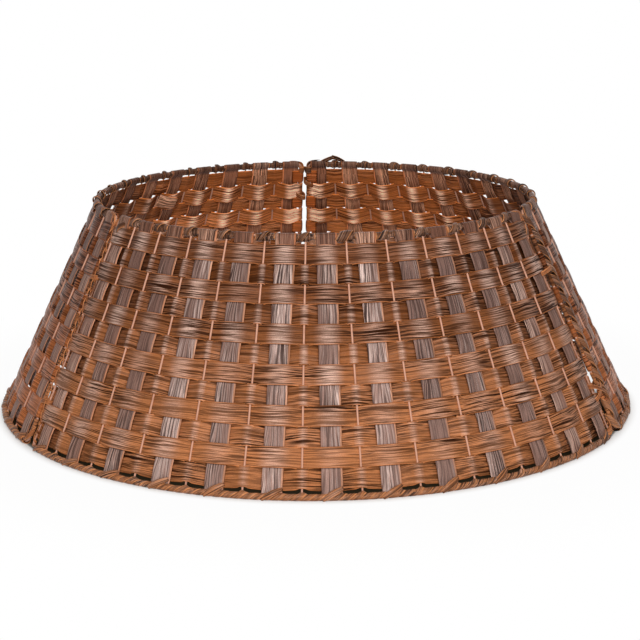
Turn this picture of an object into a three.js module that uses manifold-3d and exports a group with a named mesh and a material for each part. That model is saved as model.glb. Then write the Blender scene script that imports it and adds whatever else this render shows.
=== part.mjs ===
// Christmas tree collar: a leaning ring of three woven panels that hides a tree's stand.
// Millimetres, +Z up. The origin is on the floor at the middle of the ring, and the front faces -Y.
// Each panel is a bent wire frame, woven with flat plastic rattan strip and lashed along its foot and top.
import * as THREE from "three";
import { mergeVertices } from "three/addons/utils/BufferGeometryUtils.js";
import Module from "manifold-3d";

const wasm = await Module();
wasm.setup();

// Overall size, over the lashed foot and the rolled top edge
const BOTTOM_DIAMETER = 762;
const TOP_DIAMETER = 524;
const HEIGHT = 250;

// Wires
const RIM_WIRE_RADIUS = 1.5;
const STAKE_WIRE_RADIUS = 1.25;
const WIRE_SIDES = 4;
const BOTTOM_CORNER_RADIUS = 8;
const TOP_CORNER_RADIUS = 5;

// Strip. A weft is flat inside and crowned outside, and is this thick at its crown.
const STRIP_THICKNESS = 0.9;
const FLAT_WIDTH = 21.6;
const STRIP_CLEARANCE = 0.3;

// Weave: rows of weft from top to bottom, and flat stakes with a wire stake between each two
const ROW_COUNT = 12;
const FLAT_COUNT = 13;
const ROW_GAP = 0.8;
const FOOT_HOLE_HEIGHT = 3.1;
const TOP_BORDER_HEIGHT = 12.5;
const WEFT_LAP = 1;
const SIDE_WIRE_GAP = 1.6;
const TIE_ROOM = 2.1;

// Top edge, where each flat stake rolls over the rim wire and turns down outside
const ROLL_RADIUS = 3.2;
const ROLL_TAIL_GAP = 0.5;
const ROLL_TAIL_TUCK = 1.1;
const ROLL_STEPS = 4;

// Top lashing: one strip along each panel, which goes once over the rim wire at every wire stake
const BINDING_WIDTH = 3.6;
const BINDING_THICKNESS = 0.5;
const BINDING_ROW_GAP = 0.7;
const BINDING_FLAT_GAP = 2.2;
const BINDING_END_LAP = 6;
const BINDING_LEAN_SHARE = 0.7;
const BINDING_MITRE_SHARE = 0.5;
const BINDING_TILT_SHARE = 0.5;
const BINDING_OVER_SHARES = { inside: 1.17, outside: 0.68, bulge: 1.66 };

// Lashing wound along the bottom wire, crowned like a strand of rope
const LASHING_STEPS = 6;
const LASHING_WIDTH = 18;
const LASHING_CROWN = 2.3;
const LASHING_LEAST_GAP = 0.4;
const FLOOR_CUT = 0.5;

// Seams: room between the hooked row ends of neighbouring panels, at the top wire
const LEFT_SEAM_GAP = 1.3;
const RIGHT_SEAM_GAP = 6.1;
const BACK_SEAM_GAP = 2.3;

// Ties and closure loops: short rings of strip that lie between two rows of weft
const TIE_WIDTH = 4.5;
const TIE_THICKNESS = 0.8;
const TIE_CLEARANCE = 0.35;
const TIE_ROWS_BELOW = { upper: 3, lower: 10 };
const LOOP_ROWS_BELOW = { right: { upper: 1, lower: 10 }, left: { upper: 2, lower: 9 } };
const LOOP_GAP = 0.4;

const QUARTER_TURN = Math.PI / 2;
const HALF_TURN = Math.PI;
const FULL_TURN = 2 * Math.PI;
const HOOK_STEP = QUARTER_TURN;
const TIE_STEP = Math.PI / 3;
const CORNER_STEPS = 2;

// Radii around a wire: a bent strip's corners lie further out, so that its flats clear the wire
const lashingStep = FULL_TURN / LASHING_STEPS;
const lashingInner = (RIM_WIRE_RADIUS + STRIP_CLEARANCE) / Math.cos(lashingStep / 2);
const lashingOuter = lashingInner + LASHING_CROWN;
const hookRadius = (RIM_WIRE_RADIUS + STRIP_CLEARANCE) / Math.cos(HOOK_STEP / 2) + STRIP_THICKNESS / 2;
const hookReach = hookRadius + STRIP_THICKNESS / 2;
const tieInner = (RIM_WIRE_RADIUS + TIE_CLEARANCE) / Math.cos(TIE_STEP / 2);
const tieOuter = tieInner + TIE_THICKNESS;

// The wall is a cone through the centre lines of the bottom and top wires
const bottomWireRadius = BOTTOM_DIAMETER / 2 - lashingOuter * Math.cos(lashingStep / 2);
const bottomWireHeight = lashingOuter - FLOOR_CUT;
const topWireRadius = TOP_DIAMETER / 2 - ROLL_RADIUS;
const topWireHeight = HEIGHT - ROLL_RADIUS;
const slantLength = Math.hypot(bottomWireRadius - topWireRadius, topWireHeight - bottomWireHeight);
const lean = Math.atan2(bottomWireRadius - topWireRadius, topWireHeight - bottomWireHeight);

// Angles round the ring
const seamAngle = {
  left: (2 * hookReach + LEFT_SEAM_GAP) / topWireRadius,
  right: (2 * hookReach + RIGHT_SEAM_GAP) / topWireRadius,
  back: (2 * hookReach + BACK_SEAM_GAP) / topWireRadius,
};
const panelHalf = (FULL_TURN - seamAngle.left - seamAngle.right - seamAngle.back) / 6;
const edgeAngle = (FLAT_WIDTH / 2 + SIDE_WIRE_GAP + RIM_WIRE_RADIUS) / topWireRadius;
const stakePitch = (2 * (panelHalf - edgeAngle)) / (FLAT_COUNT - 1);
const panelCentre = {
  front: 0,
  left: -(2 * panelHalf + seamAngle.left),
  right: 2 * panelHalf + seamAngle.right,
};

// Rows up the slant. They fill the wall between the lashed foot and the rolled border, and at their ends
// they narrow to leave room for the ties.
const rowsAboveBottomWire = lashingOuter + FOOT_HOLE_HEIGHT;
const rowsBelowTopWire = TOP_BORDER_HEIGHT - ROLL_RADIUS;
const rowPitch = (slantLength - rowsAboveBottomWire - rowsBelowTopWire) / ROW_COUNT;
const weftWidth = rowPitch - ROW_GAP;
const weftEndWidth = rowPitch - TIE_WIDTH - 2 * TIE_ROOM;
const pinchedWidth = (weftWidth + weftEndWidth) / 2;
const rollTail = rowsBelowTopWire - ROLL_TAIL_GAP;
const lashingLoops = 2 * (FLAT_COUNT - 1);

// How far a strip's middle lies from the wall where it passes a flat stake, and a wire stake
const pastFlat = STRIP_THICKNESS + STRIP_CLEARANCE;
const pastWire = STAKE_WIRE_RADIUS + STRIP_CLEARANCE + STRIP_THICKNESS / 2;

const MATERIALS = {
  weftDark: new THREE.MeshStandardMaterial({ color: 0x7a4526, roughness: 0.5, metalness: 0 }),
  weftWarm: new THREE.MeshStandardMaterial({ color: 0x9a5a30, roughness: 0.5, metalness: 0 }),
  stakes: new THREE.MeshStandardMaterial({ color: 0x8b7265, roughness: 0.55, metalness: 0 }),
  lashing: new THREE.MeshStandardMaterial({ color: 0x8a542f, roughness: 0.55, metalness: 0 }),
  tie: new THREE.MeshStandardMaterial({ color: 0xa8623c, roughness: 0.6, metalness: 0 }),
};

const collar = new THREE.Group();

// The wall's own directions at an angle round the ring, measured from the front towards +X.
function wallAxes(angle) {
  const radial = new THREE.Vector3(Math.sin(angle), -Math.cos(angle), 0);
  const vertical = new THREE.Vector3(0, 0, 1);
  return {
    radial,
    side: new THREE.Vector3(Math.cos(angle), Math.sin(angle), 0),
    up: vertical.clone().multiplyScalar(Math.cos(lean)).addScaledVector(radial, -Math.sin(lean)),
    out: radial.clone().multiplyScalar(Math.cos(lean)).addScaledVector(vertical, Math.sin(lean)),
  };
}

function wallRadius(up) {
  return bottomWireRadius - up * Math.sin(lean);
}

// A point on the wall, up the slant from the bottom wire, moved out from the wall and sideways.
function onWall(angle, up, out = 0, side = 0) {
  const axes = wallAxes(angle);
  return axes.radial
    .clone()
    .multiplyScalar(bottomWireRadius)
    .setZ(bottomWireHeight)
    .addScaledVector(axes.up, up)
    .addScaledVector(axes.out, out)
    .addScaledVector(axes.side, side);
}

// A closed solid through rings of points that turn counter-clockwise about the way forward.
function loft(rings, looped = false) {
  const sides = rings[0].length;
  const spans = looped ? rings.length : rings.length - 1;
  const index = [];
  for (let i = 0; i < spans; i++) {
    const here = i * sides;
    const next = ((i + 1) % rings.length) * sides;
    for (let j = 0; j < sides; j++) {
      const k = (j + 1) % sides;
      index.push(here + j, here + k, next + k);
      index.push(here + j, next + k, next + j);
    }
  }
  if (!looped) {
    const last = (rings.length - 1) * sides;
    for (let j = 1; j < sides - 1; j++) {
      index.push(0, j + 1, j);
      index.push(last, last + j, last + j + 1);
    }
  }
  const points = rings.flat().flatMap((point) => point.toArray());
  const geometry = new THREE.BufferGeometry();
  geometry.setAttribute("position", new THREE.Float32BufferAttribute(points, 3));
  geometry.setIndex(index);
  return geometry;
}

function toSolid(geometry) {
  const bare = geometry.clone();
  bare.deleteAttribute("normal");
  bare.deleteAttribute("uv");
  const merged = mergeVertices(bare);
  return new wasm.Manifold(
    new wasm.Mesh({
      numProp: 3,
      vertProperties: merged.attributes.position.array,
      triVerts: new Uint32Array(merged.index.array),
    }),
  );
}

function toGeometry(solid) {
  const mesh = solid.getMesh();
  const geometry = new THREE.BufferGeometry();
  geometry.setAttribute("position", new THREE.Float32BufferAttribute(mesh.vertProperties, mesh.numProp));
  geometry.setIndex(Array.from(mesh.triVerts));
  return geometry;
}

function addPiece(name, geometry, material) {
  geometry.computeVertexNormals();
  const piece = new THREE.Mesh(geometry, material);
  piece.name = name;
  collar.add(piece);
}

// Wire frame

// The wire that runs round a panel's four edges, as places on the wall with rounded corners.
function outlinePlaces(centre) {
  const places = [];
  const corner = (endSign, up, radius, startTurn) => {
    const middleUp = up + (up > 0 ? -radius : radius);
    const middleSide = -endSign * radius;
    for (let i = 0; i <= CORNER_STEPS; i++) {
      const turn = startTurn + (i / CORNER_STEPS) * QUARTER_TURN;
      const atUp = middleUp + radius * Math.sin(turn);
      const side = middleSide + radius * Math.cos(turn);
      places.push({ angle: centre + endSign * panelHalf + side / wallRadius(atUp), up: atUp });
    }
  };
  const half = (FLAT_COUNT - 1) / 2;
  for (let k = -half; k <= half; k += 0.5) places.push({ angle: centre + k * stakePitch, up: 0 });
  corner(1, 0, BOTTOM_CORNER_RADIUS, -QUARTER_TURN);
  corner(1, slantLength, TOP_CORNER_RADIUS, 0);
  for (let k = half; k >= -half; k -= 0.5) places.push({ angle: centre + k * stakePitch, up: slantLength });
  corner(-1, slantLength, TOP_CORNER_RADIUS, QUARTER_TURN);
  corner(-1, 0, BOTTOM_CORNER_RADIUS, HALF_TURN);
  return places;
}

function wireRing(place, forward, radius) {
  const { out } = wallAxes(place.angle);
  const across = new THREE.Vector3().crossVectors(forward, out).normalize();
  const middle = onWall(place.angle, place.up);
  return Array.from({ length: WIRE_SIDES }, (_, i) => {
    const turn = (i / WIRE_SIDES) * FULL_TURN;
    return middle
      .clone()
      .addScaledVector(out, radius * Math.cos(turn))
      .addScaledVector(across, radius * Math.sin(turn));
  });
}

function outlineWire(centre) {
  const places = outlinePlaces(centre);
  const points = places.map((place) => onWall(place.angle, place.up));
  const rings = places.map((place, i) => {
    const before = points[(i + points.length - 1) % points.length];
    const after = points[(i + 1) % points.length];
    const forward = new THREE.Vector3().subVectors(after, before).normalize();
    return wireRing(place, forward, RIM_WIRE_RADIUS);
  });
  return loft(rings, true);
}

function stakeWire(angle) {
  const { up } = wallAxes(angle);
  const ends = [0, slantLength].map((height) => wireRing({ angle, up: height }, up, STAKE_WIRE_RADIUS));
  return loft(ends);
}

// A flat stake with its rolled top, as a profile in the plane across the wall, extruded over its width.
function flatStake(angle) {
  const half = STRIP_THICKNESS / 2;
  const foot = lashingOuter + STRIP_CLEARANCE;
  const profile = new THREE.Shape();
  profile.moveTo(-half, foot);
  profile.lineTo(half, foot);
  profile.lineTo(half, slantLength - rollTail + ROLL_TAIL_TUCK);
  profile.lineTo(ROLL_RADIUS - ROLL_TAIL_TUCK, slantLength - rollTail);
  profile.lineTo(ROLL_RADIUS, slantLength - rollTail + ROLL_TAIL_TUCK);
  profile.lineTo(ROLL_RADIUS, slantLength);
  for (let i = 1; i <= ROLL_STEPS; i++) {
    const turn = (i / ROLL_STEPS) * HALF_TURN;
    profile.lineTo(ROLL_RADIUS * Math.cos(turn), slantLength + ROLL_RADIUS * Math.sin(turn));
  }
  profile.lineTo(-half, slantLength - 2 * ROLL_RADIUS);
  const { out, up, side } = wallAxes(angle);
  const sag = (FLAT_WIDTH / 2) ** 2 / (2 * topWireRadius);
  const place = new THREE.Matrix4().makeBasis(out, up, side.clone().negate());
  place.setPosition(onWall(angle, 0, -sag, FLAT_WIDTH / 2));
  return new THREE.ExtrudeGeometry(profile, { depth: FLAT_WIDTH, bevelEnabled: false }).applyMatrix4(place);
}

// The outline wire with the wire stakes welded to it and the flat stakes rolled over its top run.
function stakeFrame(centre) {
  let solid = toSolid(outlineWire(centre));
  const half = (FLAT_COUNT - 1) / 2;
  for (let k = -half; k <= half; k++) solid = solid.add(toSolid(flatStake(centre + k * stakePitch)));
  for (let k = -half + 0.5; k < half; k++) solid = solid.add(toSolid(stakeWire(centre + k * stakePitch)));
  return toGeometry(solid);
}

// Weft

// A cut across a weft: its two edges and its crown, which looks along `facing`, a turn from the side.
function stripRing({ angle, up, half, out = 0, side = 0, facing = QUARTER_TURN }) {
  const across = STRIP_THICKNESS / 2;
  const corner = (upSign, outSign) =>
    onWall(
      angle,
      up + upSign * half,
      out + outSign * across * Math.sin(facing),
      side + outSign * across * Math.cos(facing),
    );
  return [corner(-1, -1), corner(1, -1), corner(0, 1)];
}

// The strip's end, bent round a side wire from the wall's near face to its far face.
function weftHook(centre, endSign, up, nearSign) {
  const stations = [];
  for (let turn = QUARTER_TURN; turn >= -QUARTER_TURN; turn -= HOOK_STEP) {
    const outTurn = nearSign * turn;
    const facing = nearSign > 0 ? outTurn : outTurn + HALF_TURN;
    stations.push({
      angle: centre + endSign * panelHalf,
      up,
      half: weftEndWidth / 2,
      out: hookRadius * Math.sin(outTurn),
      side: endSign * hookRadius * Math.cos(outTurn),
      facing: endSign > 0 ? facing : HALF_TURN - facing,
    });
  }
  return stations;
}

// One row: over the flat stakes and under the wire stakes in odd rows, and the other way in even rows.
function weft(centre, row) {
  const up = slantLength - rowsBelowTopWire - (row - 0.5) * rowPitch;
  const nearSign = row % 2 === 1 ? 1 : -1;
  const lapAngle = (FLAT_WIDTH / 2 + WEFT_LAP) / wallRadius(up);
  const half = (FLAT_COUNT - 1) / 2;
  const stations = weftHook(centre, -1, up, nearSign).reverse();
  for (let k = -half; k <= half; k++) {
    const middle = centre + k * stakePitch;
    const widths = [k === -half ? pinchedWidth : weftWidth, k === half ? pinchedWidth : weftWidth];
    stations.push({ angle: middle - lapAngle, up, half: widths[0] / 2, out: nearSign * pastFlat });
    stations.push({ angle: middle + lapAngle, up, half: widths[1] / 2, out: nearSign * pastFlat });
    if (k < half) {
      stations.push({ angle: middle + stakePitch / 2, up, half: weftWidth / 2, out: -nearSign * pastWire });
    }
  }
  stations.push(...weftHook(centre, 1, up, nearSign));
  return loft(stations.map(stripRing));
}

// Lashing

// A point on the bottom wire's centre line, a number of half pitches from the first flat stake.
function onBottomWire(centre, halfPitches) {
  const place = (count) => onWall(centre + (count / 2 - (FLAT_COUNT - 1) / 2) * stakePitch, 0);
  const count = Math.floor(halfPitches);
  return place(count).lerp(place(count + 1), halfPitches - count);
}

// The lashing turns once in each half pitch and passes under the wire at every stake.
function lashingRings(centre) {
  const loopLength = onBottomWire(centre, 0).distanceTo(onBottomWire(centre, 1));
  const halfShare = LASHING_WIDTH / 2 / loopLength;
  const vertical = new THREE.Vector3(0, 0, 1);
  const rings = [];
  for (let i = 0; i <= lashingLoops * LASHING_STEPS; i++) {
    const loops = i / LASHING_STEPS;
    const turn = HALF_TURN + loops * FULL_TURN;
    const { radial } = wallAxes(centre + (loops / 2 - (FLAT_COUNT - 1) / 2) * stakePitch);
    const away = radial.multiplyScalar(Math.sin(turn)).addScaledVector(vertical, Math.cos(turn));
    rings.push([
      onBottomWire(centre, loops - halfShare).addScaledVector(away, lashingInner),
      onBottomWire(centre, loops + halfShare).addScaledVector(away, lashingInner),
      onBottomWire(centre, loops).addScaledVector(away, lashingOuter),
    ]);
  }
  return rings;
}

// The smallest distance between points of the winding that are a loop or more apart.
function leastSelfGap(rings) {
  let least = Infinity;
  for (let i = 0; i < rings.length; i++) {
    for (let j = i + LASHING_STEPS - 1; j < rings.length; j++) {
      for (const point of rings[i]) {
        for (const other of rings[j]) least = Math.min(least, point.distanceTo(other));
      }
    }
  }
  return least;
}

// Everything under the floor line is cut away, so that each loop stands on a flat.
function cutFlat(solid) {
  const slab = new THREE.BoxGeometry(2 * BOTTOM_DIAMETER, 2 * BOTTOM_DIAMETER, HEIGHT);
  slab.translate(0, 0, HEIGHT / 2);
  return solid.intersect(toSolid(slab));
}

function lashing(centre, name) {
  const rings = lashingRings(centre);
  const gap = leastSelfGap(rings);
  console.log(`${name}: least gap between loops ${gap.toFixed(2)} mm, over ${LASHING_LEAST_GAP}`);
  return toGeometry(cutFlat(toSolid(loft(rings))));
}

// The top lashing runs behind the flat stakes and, at each wire stake, goes up inside the rim wire, over it
// and back in below it. That turns the strip half round, so each pass over the wire shows its other face.
function topLashing(centre) {
  const clear = RIM_WIRE_RADIUS + STRIP_CLEARANCE + BINDING_THICKNESS / 2;
  const low = rowsBelowTopWire + ROW_GAP / 2 - BINDING_ROW_GAP - BINDING_WIDTH / 2;
  const reach = (stakePitch * topWireRadius - FLAT_WIDTH) / 2 - BINDING_FLAT_GAP;
  const leaning = BINDING_WIDTH * BINDING_LEAN_SHARE;
  const over = {
    inside: clear * BINDING_OVER_SHARES.inside,
    outside: clear * BINDING_OVER_SHARES.outside,
    bulge: clear * BINDING_OVER_SHARES.bulge,
  };
  // `across` is [sideways, up] and `facing` is [out, up], for a pass that shows the strip's first face
  const pass = [
    { side: -reach, out: -clear, drop: low, across: [-BINDING_MITRE_SHARE, 1], facing: [-1, 0] },
    { side: -leaning, out: -clear, drop: -over.inside, across: [-1, 0], facing: [-1, 1] },
    { side: 0, out: over.bulge, drop: -over.outside, across: [-1, 0], facing: [1, BINDING_TILT_SHARE] },
    { side: reach, out: -clear, drop: low, across: [-BINDING_MITRE_SHARE, -1], facing: [1, 0] },
  ];
  const half = (FLAT_COUNT - 1) / 2;
  const places = [];
  for (let k = -half + 0.5, shown = 1; k < half; k++, shown = -shown) {
    for (const place of pass) places.push({ ...place, angle: centre + k * stakePitch, shown });
  }
  const first = { ...places[0], side: -reach - BINDING_END_LAP, across: [0, 1] };
  const last = { ...places.at(-1), side: reach + BINDING_END_LAP, across: [0, -1] };
  const rings = [first, ...places, last].map(({ angle, side, out, drop, across, facing, shown }) => {
    const axes = wallAxes(angle);
    const sideways = axes.side.multiplyScalar(across[0]).addScaledVector(axes.up, across[1]);
    const broad = axes.out.multiplyScalar(facing[0]).addScaledVector(axes.up, facing[1]).normalize();
    const corner = (acrossSign, facingSign) =>
      onWall(angle, slantLength - drop, out, side)
        .addScaledVector(sideways, (acrossSign * shown * BINDING_WIDTH) / 2)
        .addScaledVector(broad, (facingSign * shown * BINDING_THICKNESS) / 2);
    return [corner(-1, 1), corner(1, 1), corner(1, -1), corner(-1, -1)];
  });
  return loft(rings);
}

// Ties

// A ring of strip round two places side by side on the wall, which lies flat on both faces.
function tie(firstAngle, lastAngle, up) {
  const rings = [];
  for (const [angle, sign] of [[lastAngle, 1], [firstAngle, -1]]) {
    for (let turn = QUARTER_TURN; turn > -QUARTER_TURN - TIE_STEP / 2; turn -= TIE_STEP) {
      const point = (radius, height) =>
        onWall(angle, height, sign * radius * Math.sin(turn), sign * radius * Math.cos(turn));
      const low = up - TIE_WIDTH / 2;
      const high = up + TIE_WIDTH / 2;
      rings.push([point(tieInner, low), point(tieInner, high), point(tieOuter, high), point(tieOuter, low)]);
    }
  }
  return loft(rings, true);
}

function upBelowRow(row) {
  return slantLength - rowsBelowTopWire - row * rowPitch;
}

for (const [panel, centre] of Object.entries(panelCentre)) {
  addPiece(`${panel}_stake_frame`, stakeFrame(centre), MATERIALS.stakes);
  for (let row = 1; row <= ROW_COUNT; row++) {
    const number = String(row).padStart(2, "0");
    const material = row % 2 === 1 ? MATERIALS.weftDark : MATERIALS.weftWarm;
    addPiece(`${panel}_weft_${number}`, weft(centre, row), material);
  }
  const name = `${panel}_bottom_lashing`;
  addPiece(name, lashing(centre, name), MATERIALS.lashing);
  addPiece(`${panel}_top_lashing`, topLashing(centre), MATERIALS.lashing);
}

// The ties that hinge each side panel to the front one hold both side wires of their seam.
for (const [level, row] of Object.entries(TIE_ROWS_BELOW)) {
  const up = upBelowRow(row);
  const leftTie = tie(-panelHalf - seamAngle.left, -panelHalf, up);
  const rightTie = tie(panelHalf, panelHalf + seamAngle.right, up);
  addPiece(`left_seam_tie_${level}`, leftTie, MATERIALS.tie);
  addPiece(`right_seam_tie_${level}`, rightTie, MATERIALS.tie);
}

// The closure loops at the back each hold their own panel's side wire and reach into the seam.
const backEdge = {
  right: panelCentre.right + panelHalf,
  left: panelCentre.left - panelHalf + FULL_TURN,
};
const loopReach = (up) => seamAngle.back - (RIM_WIRE_RADIUS + tieOuter + LOOP_GAP) / wallRadius(up);
for (const level of ["upper", "lower"]) {
  const rightUp = upBelowRow(LOOP_ROWS_BELOW.right[level]);
  const leftUp = upBelowRow(LOOP_ROWS_BELOW.left[level]);
  const rightLoop = tie(backEdge.right, backEdge.right + loopReach(rightUp), rightUp);
  const leftLoop = tie(backEdge.left - loopReach(leftUp), backEdge.left, leftUp);
  addPiece(`right_closure_loop_${level}`, rightLoop, MATERIALS.tie);
  addPiece(`left_closure_loop_${level}`, leftLoop, MATERIALS.tie);
}

export default collar;
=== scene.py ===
"""Christmas tree collar: three woven strip panels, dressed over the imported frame.

Every strip is grown by a geometry node tree in the wall's own directions: an angle round the ring, a height up
the slant and a distance out from the wall. Lengths are metres and angles are radians.
"""

from __future__ import annotations

import logging
import math
from collections.abc import Callable
from dataclasses import dataclass, field
from enum import Enum
from typing import Any

import bpy
import numpy as np
from mathutils import Euler, Matrix, Vector

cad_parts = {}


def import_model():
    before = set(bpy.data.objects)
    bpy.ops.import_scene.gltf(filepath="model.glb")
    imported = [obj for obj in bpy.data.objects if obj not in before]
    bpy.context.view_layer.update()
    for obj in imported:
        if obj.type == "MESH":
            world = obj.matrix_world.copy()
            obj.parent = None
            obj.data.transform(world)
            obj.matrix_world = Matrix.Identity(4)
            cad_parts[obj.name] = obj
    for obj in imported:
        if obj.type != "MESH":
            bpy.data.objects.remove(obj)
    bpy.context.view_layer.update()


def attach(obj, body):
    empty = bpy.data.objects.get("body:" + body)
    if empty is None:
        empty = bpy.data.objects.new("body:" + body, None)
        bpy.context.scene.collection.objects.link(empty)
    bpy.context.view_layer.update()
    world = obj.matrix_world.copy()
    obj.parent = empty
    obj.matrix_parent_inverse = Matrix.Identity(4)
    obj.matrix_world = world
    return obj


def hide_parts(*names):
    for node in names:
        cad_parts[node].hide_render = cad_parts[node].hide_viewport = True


LOG = logging.getLogger("collar")
MM = 0.001
TURN = 2 * math.pi
WHITE = (1.0, 1.0, 1.0, 1.0)


# Sizes


@dataclass(frozen=True)
class Wall:
    """The leaning wall through the centre lines of the bottom and top wires."""

    foot_radius: float = 0.377208
    foot_height: float = 0.003878
    rim_radius: float = 0.2588
    rim_height: float = 0.2468

    @property
    def slant(self) -> float:
        """Length up the wall, from the bottom wire to the top wire."""
        return math.hypot(self.foot_radius - self.rim_radius, self.rim_height - self.foot_height)

    @property
    def lean(self) -> float:
        """Angle by which the wall leans in from the upright."""
        return math.atan2(self.foot_radius - self.rim_radius, self.rim_height - self.foot_height)

    def radius(self, up: Any) -> Any:
        """Radius at a height up the slant, which may be a number or a field."""
        return self.foot_radius - up * math.sin(self.lean)


@dataclass(frozen=True)
class Weave:
    """Counts, pitches and strip sizes that all three panels share."""

    rows: int = 12
    flats: int = 13
    row_pitch: float = 0.0211221
    stake_pitch: float = math.radians(9.300324)
    half_panel: float = math.radians(58.879267)
    border: float = 0.0093
    flat_width: float = 0.0216
    strip_thickness: float = 0.0009

    @property
    def outer_stake(self) -> float:
        """Number of the outermost flat stake, counted from the middle one."""
        return (self.flats - 1) / 2

    @property
    def foot_pitch(self) -> float:
        """Length from stake to stake along the bottom wire."""
        return WALL.foot_radius * self.stake_pitch

    def below_rim(self, rows: float) -> float:
        """Height up the slant at a number of rows under the top border."""
        return WALL.slant - self.border - rows * self.row_pitch


class Panel(Enum):
    """The three panels, each with the angle of its middle round the ring."""

    FRONT = math.radians(0.0)
    LEFT = math.radians(-(2 * 58.879267 + 1.813444))
    RIGHT = math.radians(2 * 58.879267 + 2.876117)

    @property
    def label(self) -> str:
        """The panel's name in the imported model."""
        return self.name.lower()

    @property
    def body(self) -> str:
        """The body that the panel's pieces ride on."""
        return f"{self.label}_panel"

    @property
    def seed(self) -> float:
        """A number that makes the panel's chance marks its own."""
        return {"FRONT": 3.0, "LEFT": 17.0, "RIGHT": 29.0}[self.name]


WALL = Wall()
WEAVE = Weave()


# Node trees as arithmetic


def math_method(operation: str, swapped: bool = False) -> Callable[..., "Field"]:
    """Makes a method that adds one math node.

    Args:
        operation: What the node does.
        swapped: Whether the field itself comes last, as in a number less a field.

    Returns:
        The method.
    """

    def method(own: "Field", *others: Any) -> "Field":
        """Adds the node and returns its result."""
        return own.graph.math(operation, *((*others, own) if swapped else (own, *others)))

    return method


class Field:
    """One number at every point of a mesh or a surface, as a node socket with arithmetic."""

    def __init__(self, graph: "Graph", socket: bpy.types.NodeSocket) -> None:
        """Keeps the socket that the number comes from and the graph that new nodes go to."""
        self.graph = graph
        self.socket = socket

    __add__ = __radd__ = math_method("ADD")
    __sub__ = math_method("SUBTRACT")
    __rsub__ = math_method("SUBTRACT", swapped=True)
    __mul__ = __rmul__ = math_method("MULTIPLY")
    __truediv__ = math_method("DIVIDE")
    __pow__ = math_method("POWER")
    __abs__ = math_method("ABSOLUTE")
    sin = math_method("SINE")
    cos = math_method("COSINE")
    floor = math_method("FLOOR")
    sign = math_method("SIGN")
    least = math_method("MINIMUM")
    most = math_method("MAXIMUM")

    def __neg__(self) -> "Field":
        """The number with its sign changed."""
        return self * -1.0

    def root(self) -> "Field":
        """Square root, of nothing less than nought."""
        return self.graph.math("SQRT", self.most(0.0))

    def held(self, low: Any, high: Any) -> "Field":
        """The number, kept between two others."""
        return self.most(low).least(high)

    def rise(self, start: Any, end: Any) -> "Field":
        """A smooth step from nought at the start to one at the end, which may lie below the start."""
        share = ((self - start) / (end - start)).held(0.0, 1.0)
        return share * share * (3.0 - 2.0 * share)

    def mix(self, other: Any, share: Any) -> "Field":
        """This number, moved towards another by a share."""
        return self + (other - self) * share

    def bell(self, middle: Any, reach: Any) -> "Field":
        """A smooth hump that is one at its middle and nought past its reach."""
        away = (abs(self - middle) / reach).least(1.0)
        return 0.5 + 0.5 * (away * math.pi).cos()


class Graph:
    """A node tree that is built from arithmetic, for a mesh or for a surface."""

    def __init__(self, tree: bpy.types.NodeTree) -> None:
        """Starts on a tree."""
        self.tree = tree

    def node(self, kind: str, inputs: dict[Any, Any] | None = None, **settings: Any) -> bpy.types.Node:
        """Adds a node.

        Args:
            kind: The node's type name.
            inputs: Values, fields or sockets for its inputs, by name or number.
            **settings: Properties of the node.

        Returns:
            The new node.
        """
        made = self.tree.nodes.new(kind)
        for name, value in settings.items():
            setattr(made, name, value)
        for key, value in (inputs or {}).items():
            self.put(made.inputs[key], value)
        return made

    def put(self, socket: bpy.types.NodeSocket, value: Any) -> None:
        """Links or sets one input socket.

        Args:
            socket: The input.
            value: A field, an output socket or a plain value.
        """
        if isinstance(value, Field):
            self.tree.links.new(value.socket, socket)
        elif isinstance(value, bpy.types.NodeSocket):
            self.tree.links.new(value, socket)
        else:
            socket.default_value = value

    def interface(self, way: str, kind: str, *names: str) -> bpy.types.NodeTreeInterfaceSocket:
        """Gives the tree sockets of one kind and returns the last."""
        face = self.tree.interface
        return [face.new_socket(name=name, in_out=way, socket_type=f"NodeSocket{kind}") for name in names][-1]

    def math(self, operation: str, *values: Any) -> Field:
        """Adds one sum and returns its result."""
        made = self.node("ShaderNodeMath", dict(enumerate(values)), operation=operation)
        return Field(self, made.outputs[0])

    def vector(self, x: Any, y: Any, z: Any) -> bpy.types.NodeSocket:
        """Three numbers as one vector."""
        return self.node("ShaderNodeCombineXYZ", {0: x, 1: y, 2: z}).outputs[0]

    def parts(self, vector: bpy.types.NodeSocket) -> list[Field]:
        """A vector's three numbers."""
        return [Field(self, socket) for socket in self.node("ShaderNodeSeparateXYZ", {0: vector}).outputs]

    def noise(self, place: tuple[Any, Any, Any], detail: float = 2.0) -> Field:
        """Smooth chance at an already scaled place, between about minus one and one."""
        inputs = {"Vector": self.vector(*place), "Scale": 1.0, "Detail": detail, "Roughness": 0.5}
        return (Field(self, self.node("ShaderNodeTexNoise", inputs).outputs[0]) - 0.5) * 2.0

    def chance(self, *place: Any) -> Field:
        """A number from nought to one that belongs to one to three whole numbers.

        Args:
            *place: The whole numbers.

        Returns:
            The number.
        """
        padded = list(place) + [0.0] * (3 - len(place))
        made = self.node("ShaderNodeTexWhiteNoise", {"Vector": self.vector(*padded)}, noise_dimensions="3D")
        return Field(self, made.outputs["Value"])

    def mixed(self, first: Any, second: Any, share: Any, blend: str = "MIX") -> bpy.types.NodeSocket:
        """Two colours, mixed by the share of the second."""
        inputs = {0: share, 6: first, 7: second}
        return self.node("ShaderNodeMix", inputs, data_type="RGBA", blend_type=blend).outputs[2]

    def show(self, shader: bpy.types.Node, kind: str = "Material") -> None:
        """Links a shader to the tree's output."""
        self.tree.links.new(shader.outputs[0], self.node(f"ShaderNodeOutput{kind}").inputs["Surface"])


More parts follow.
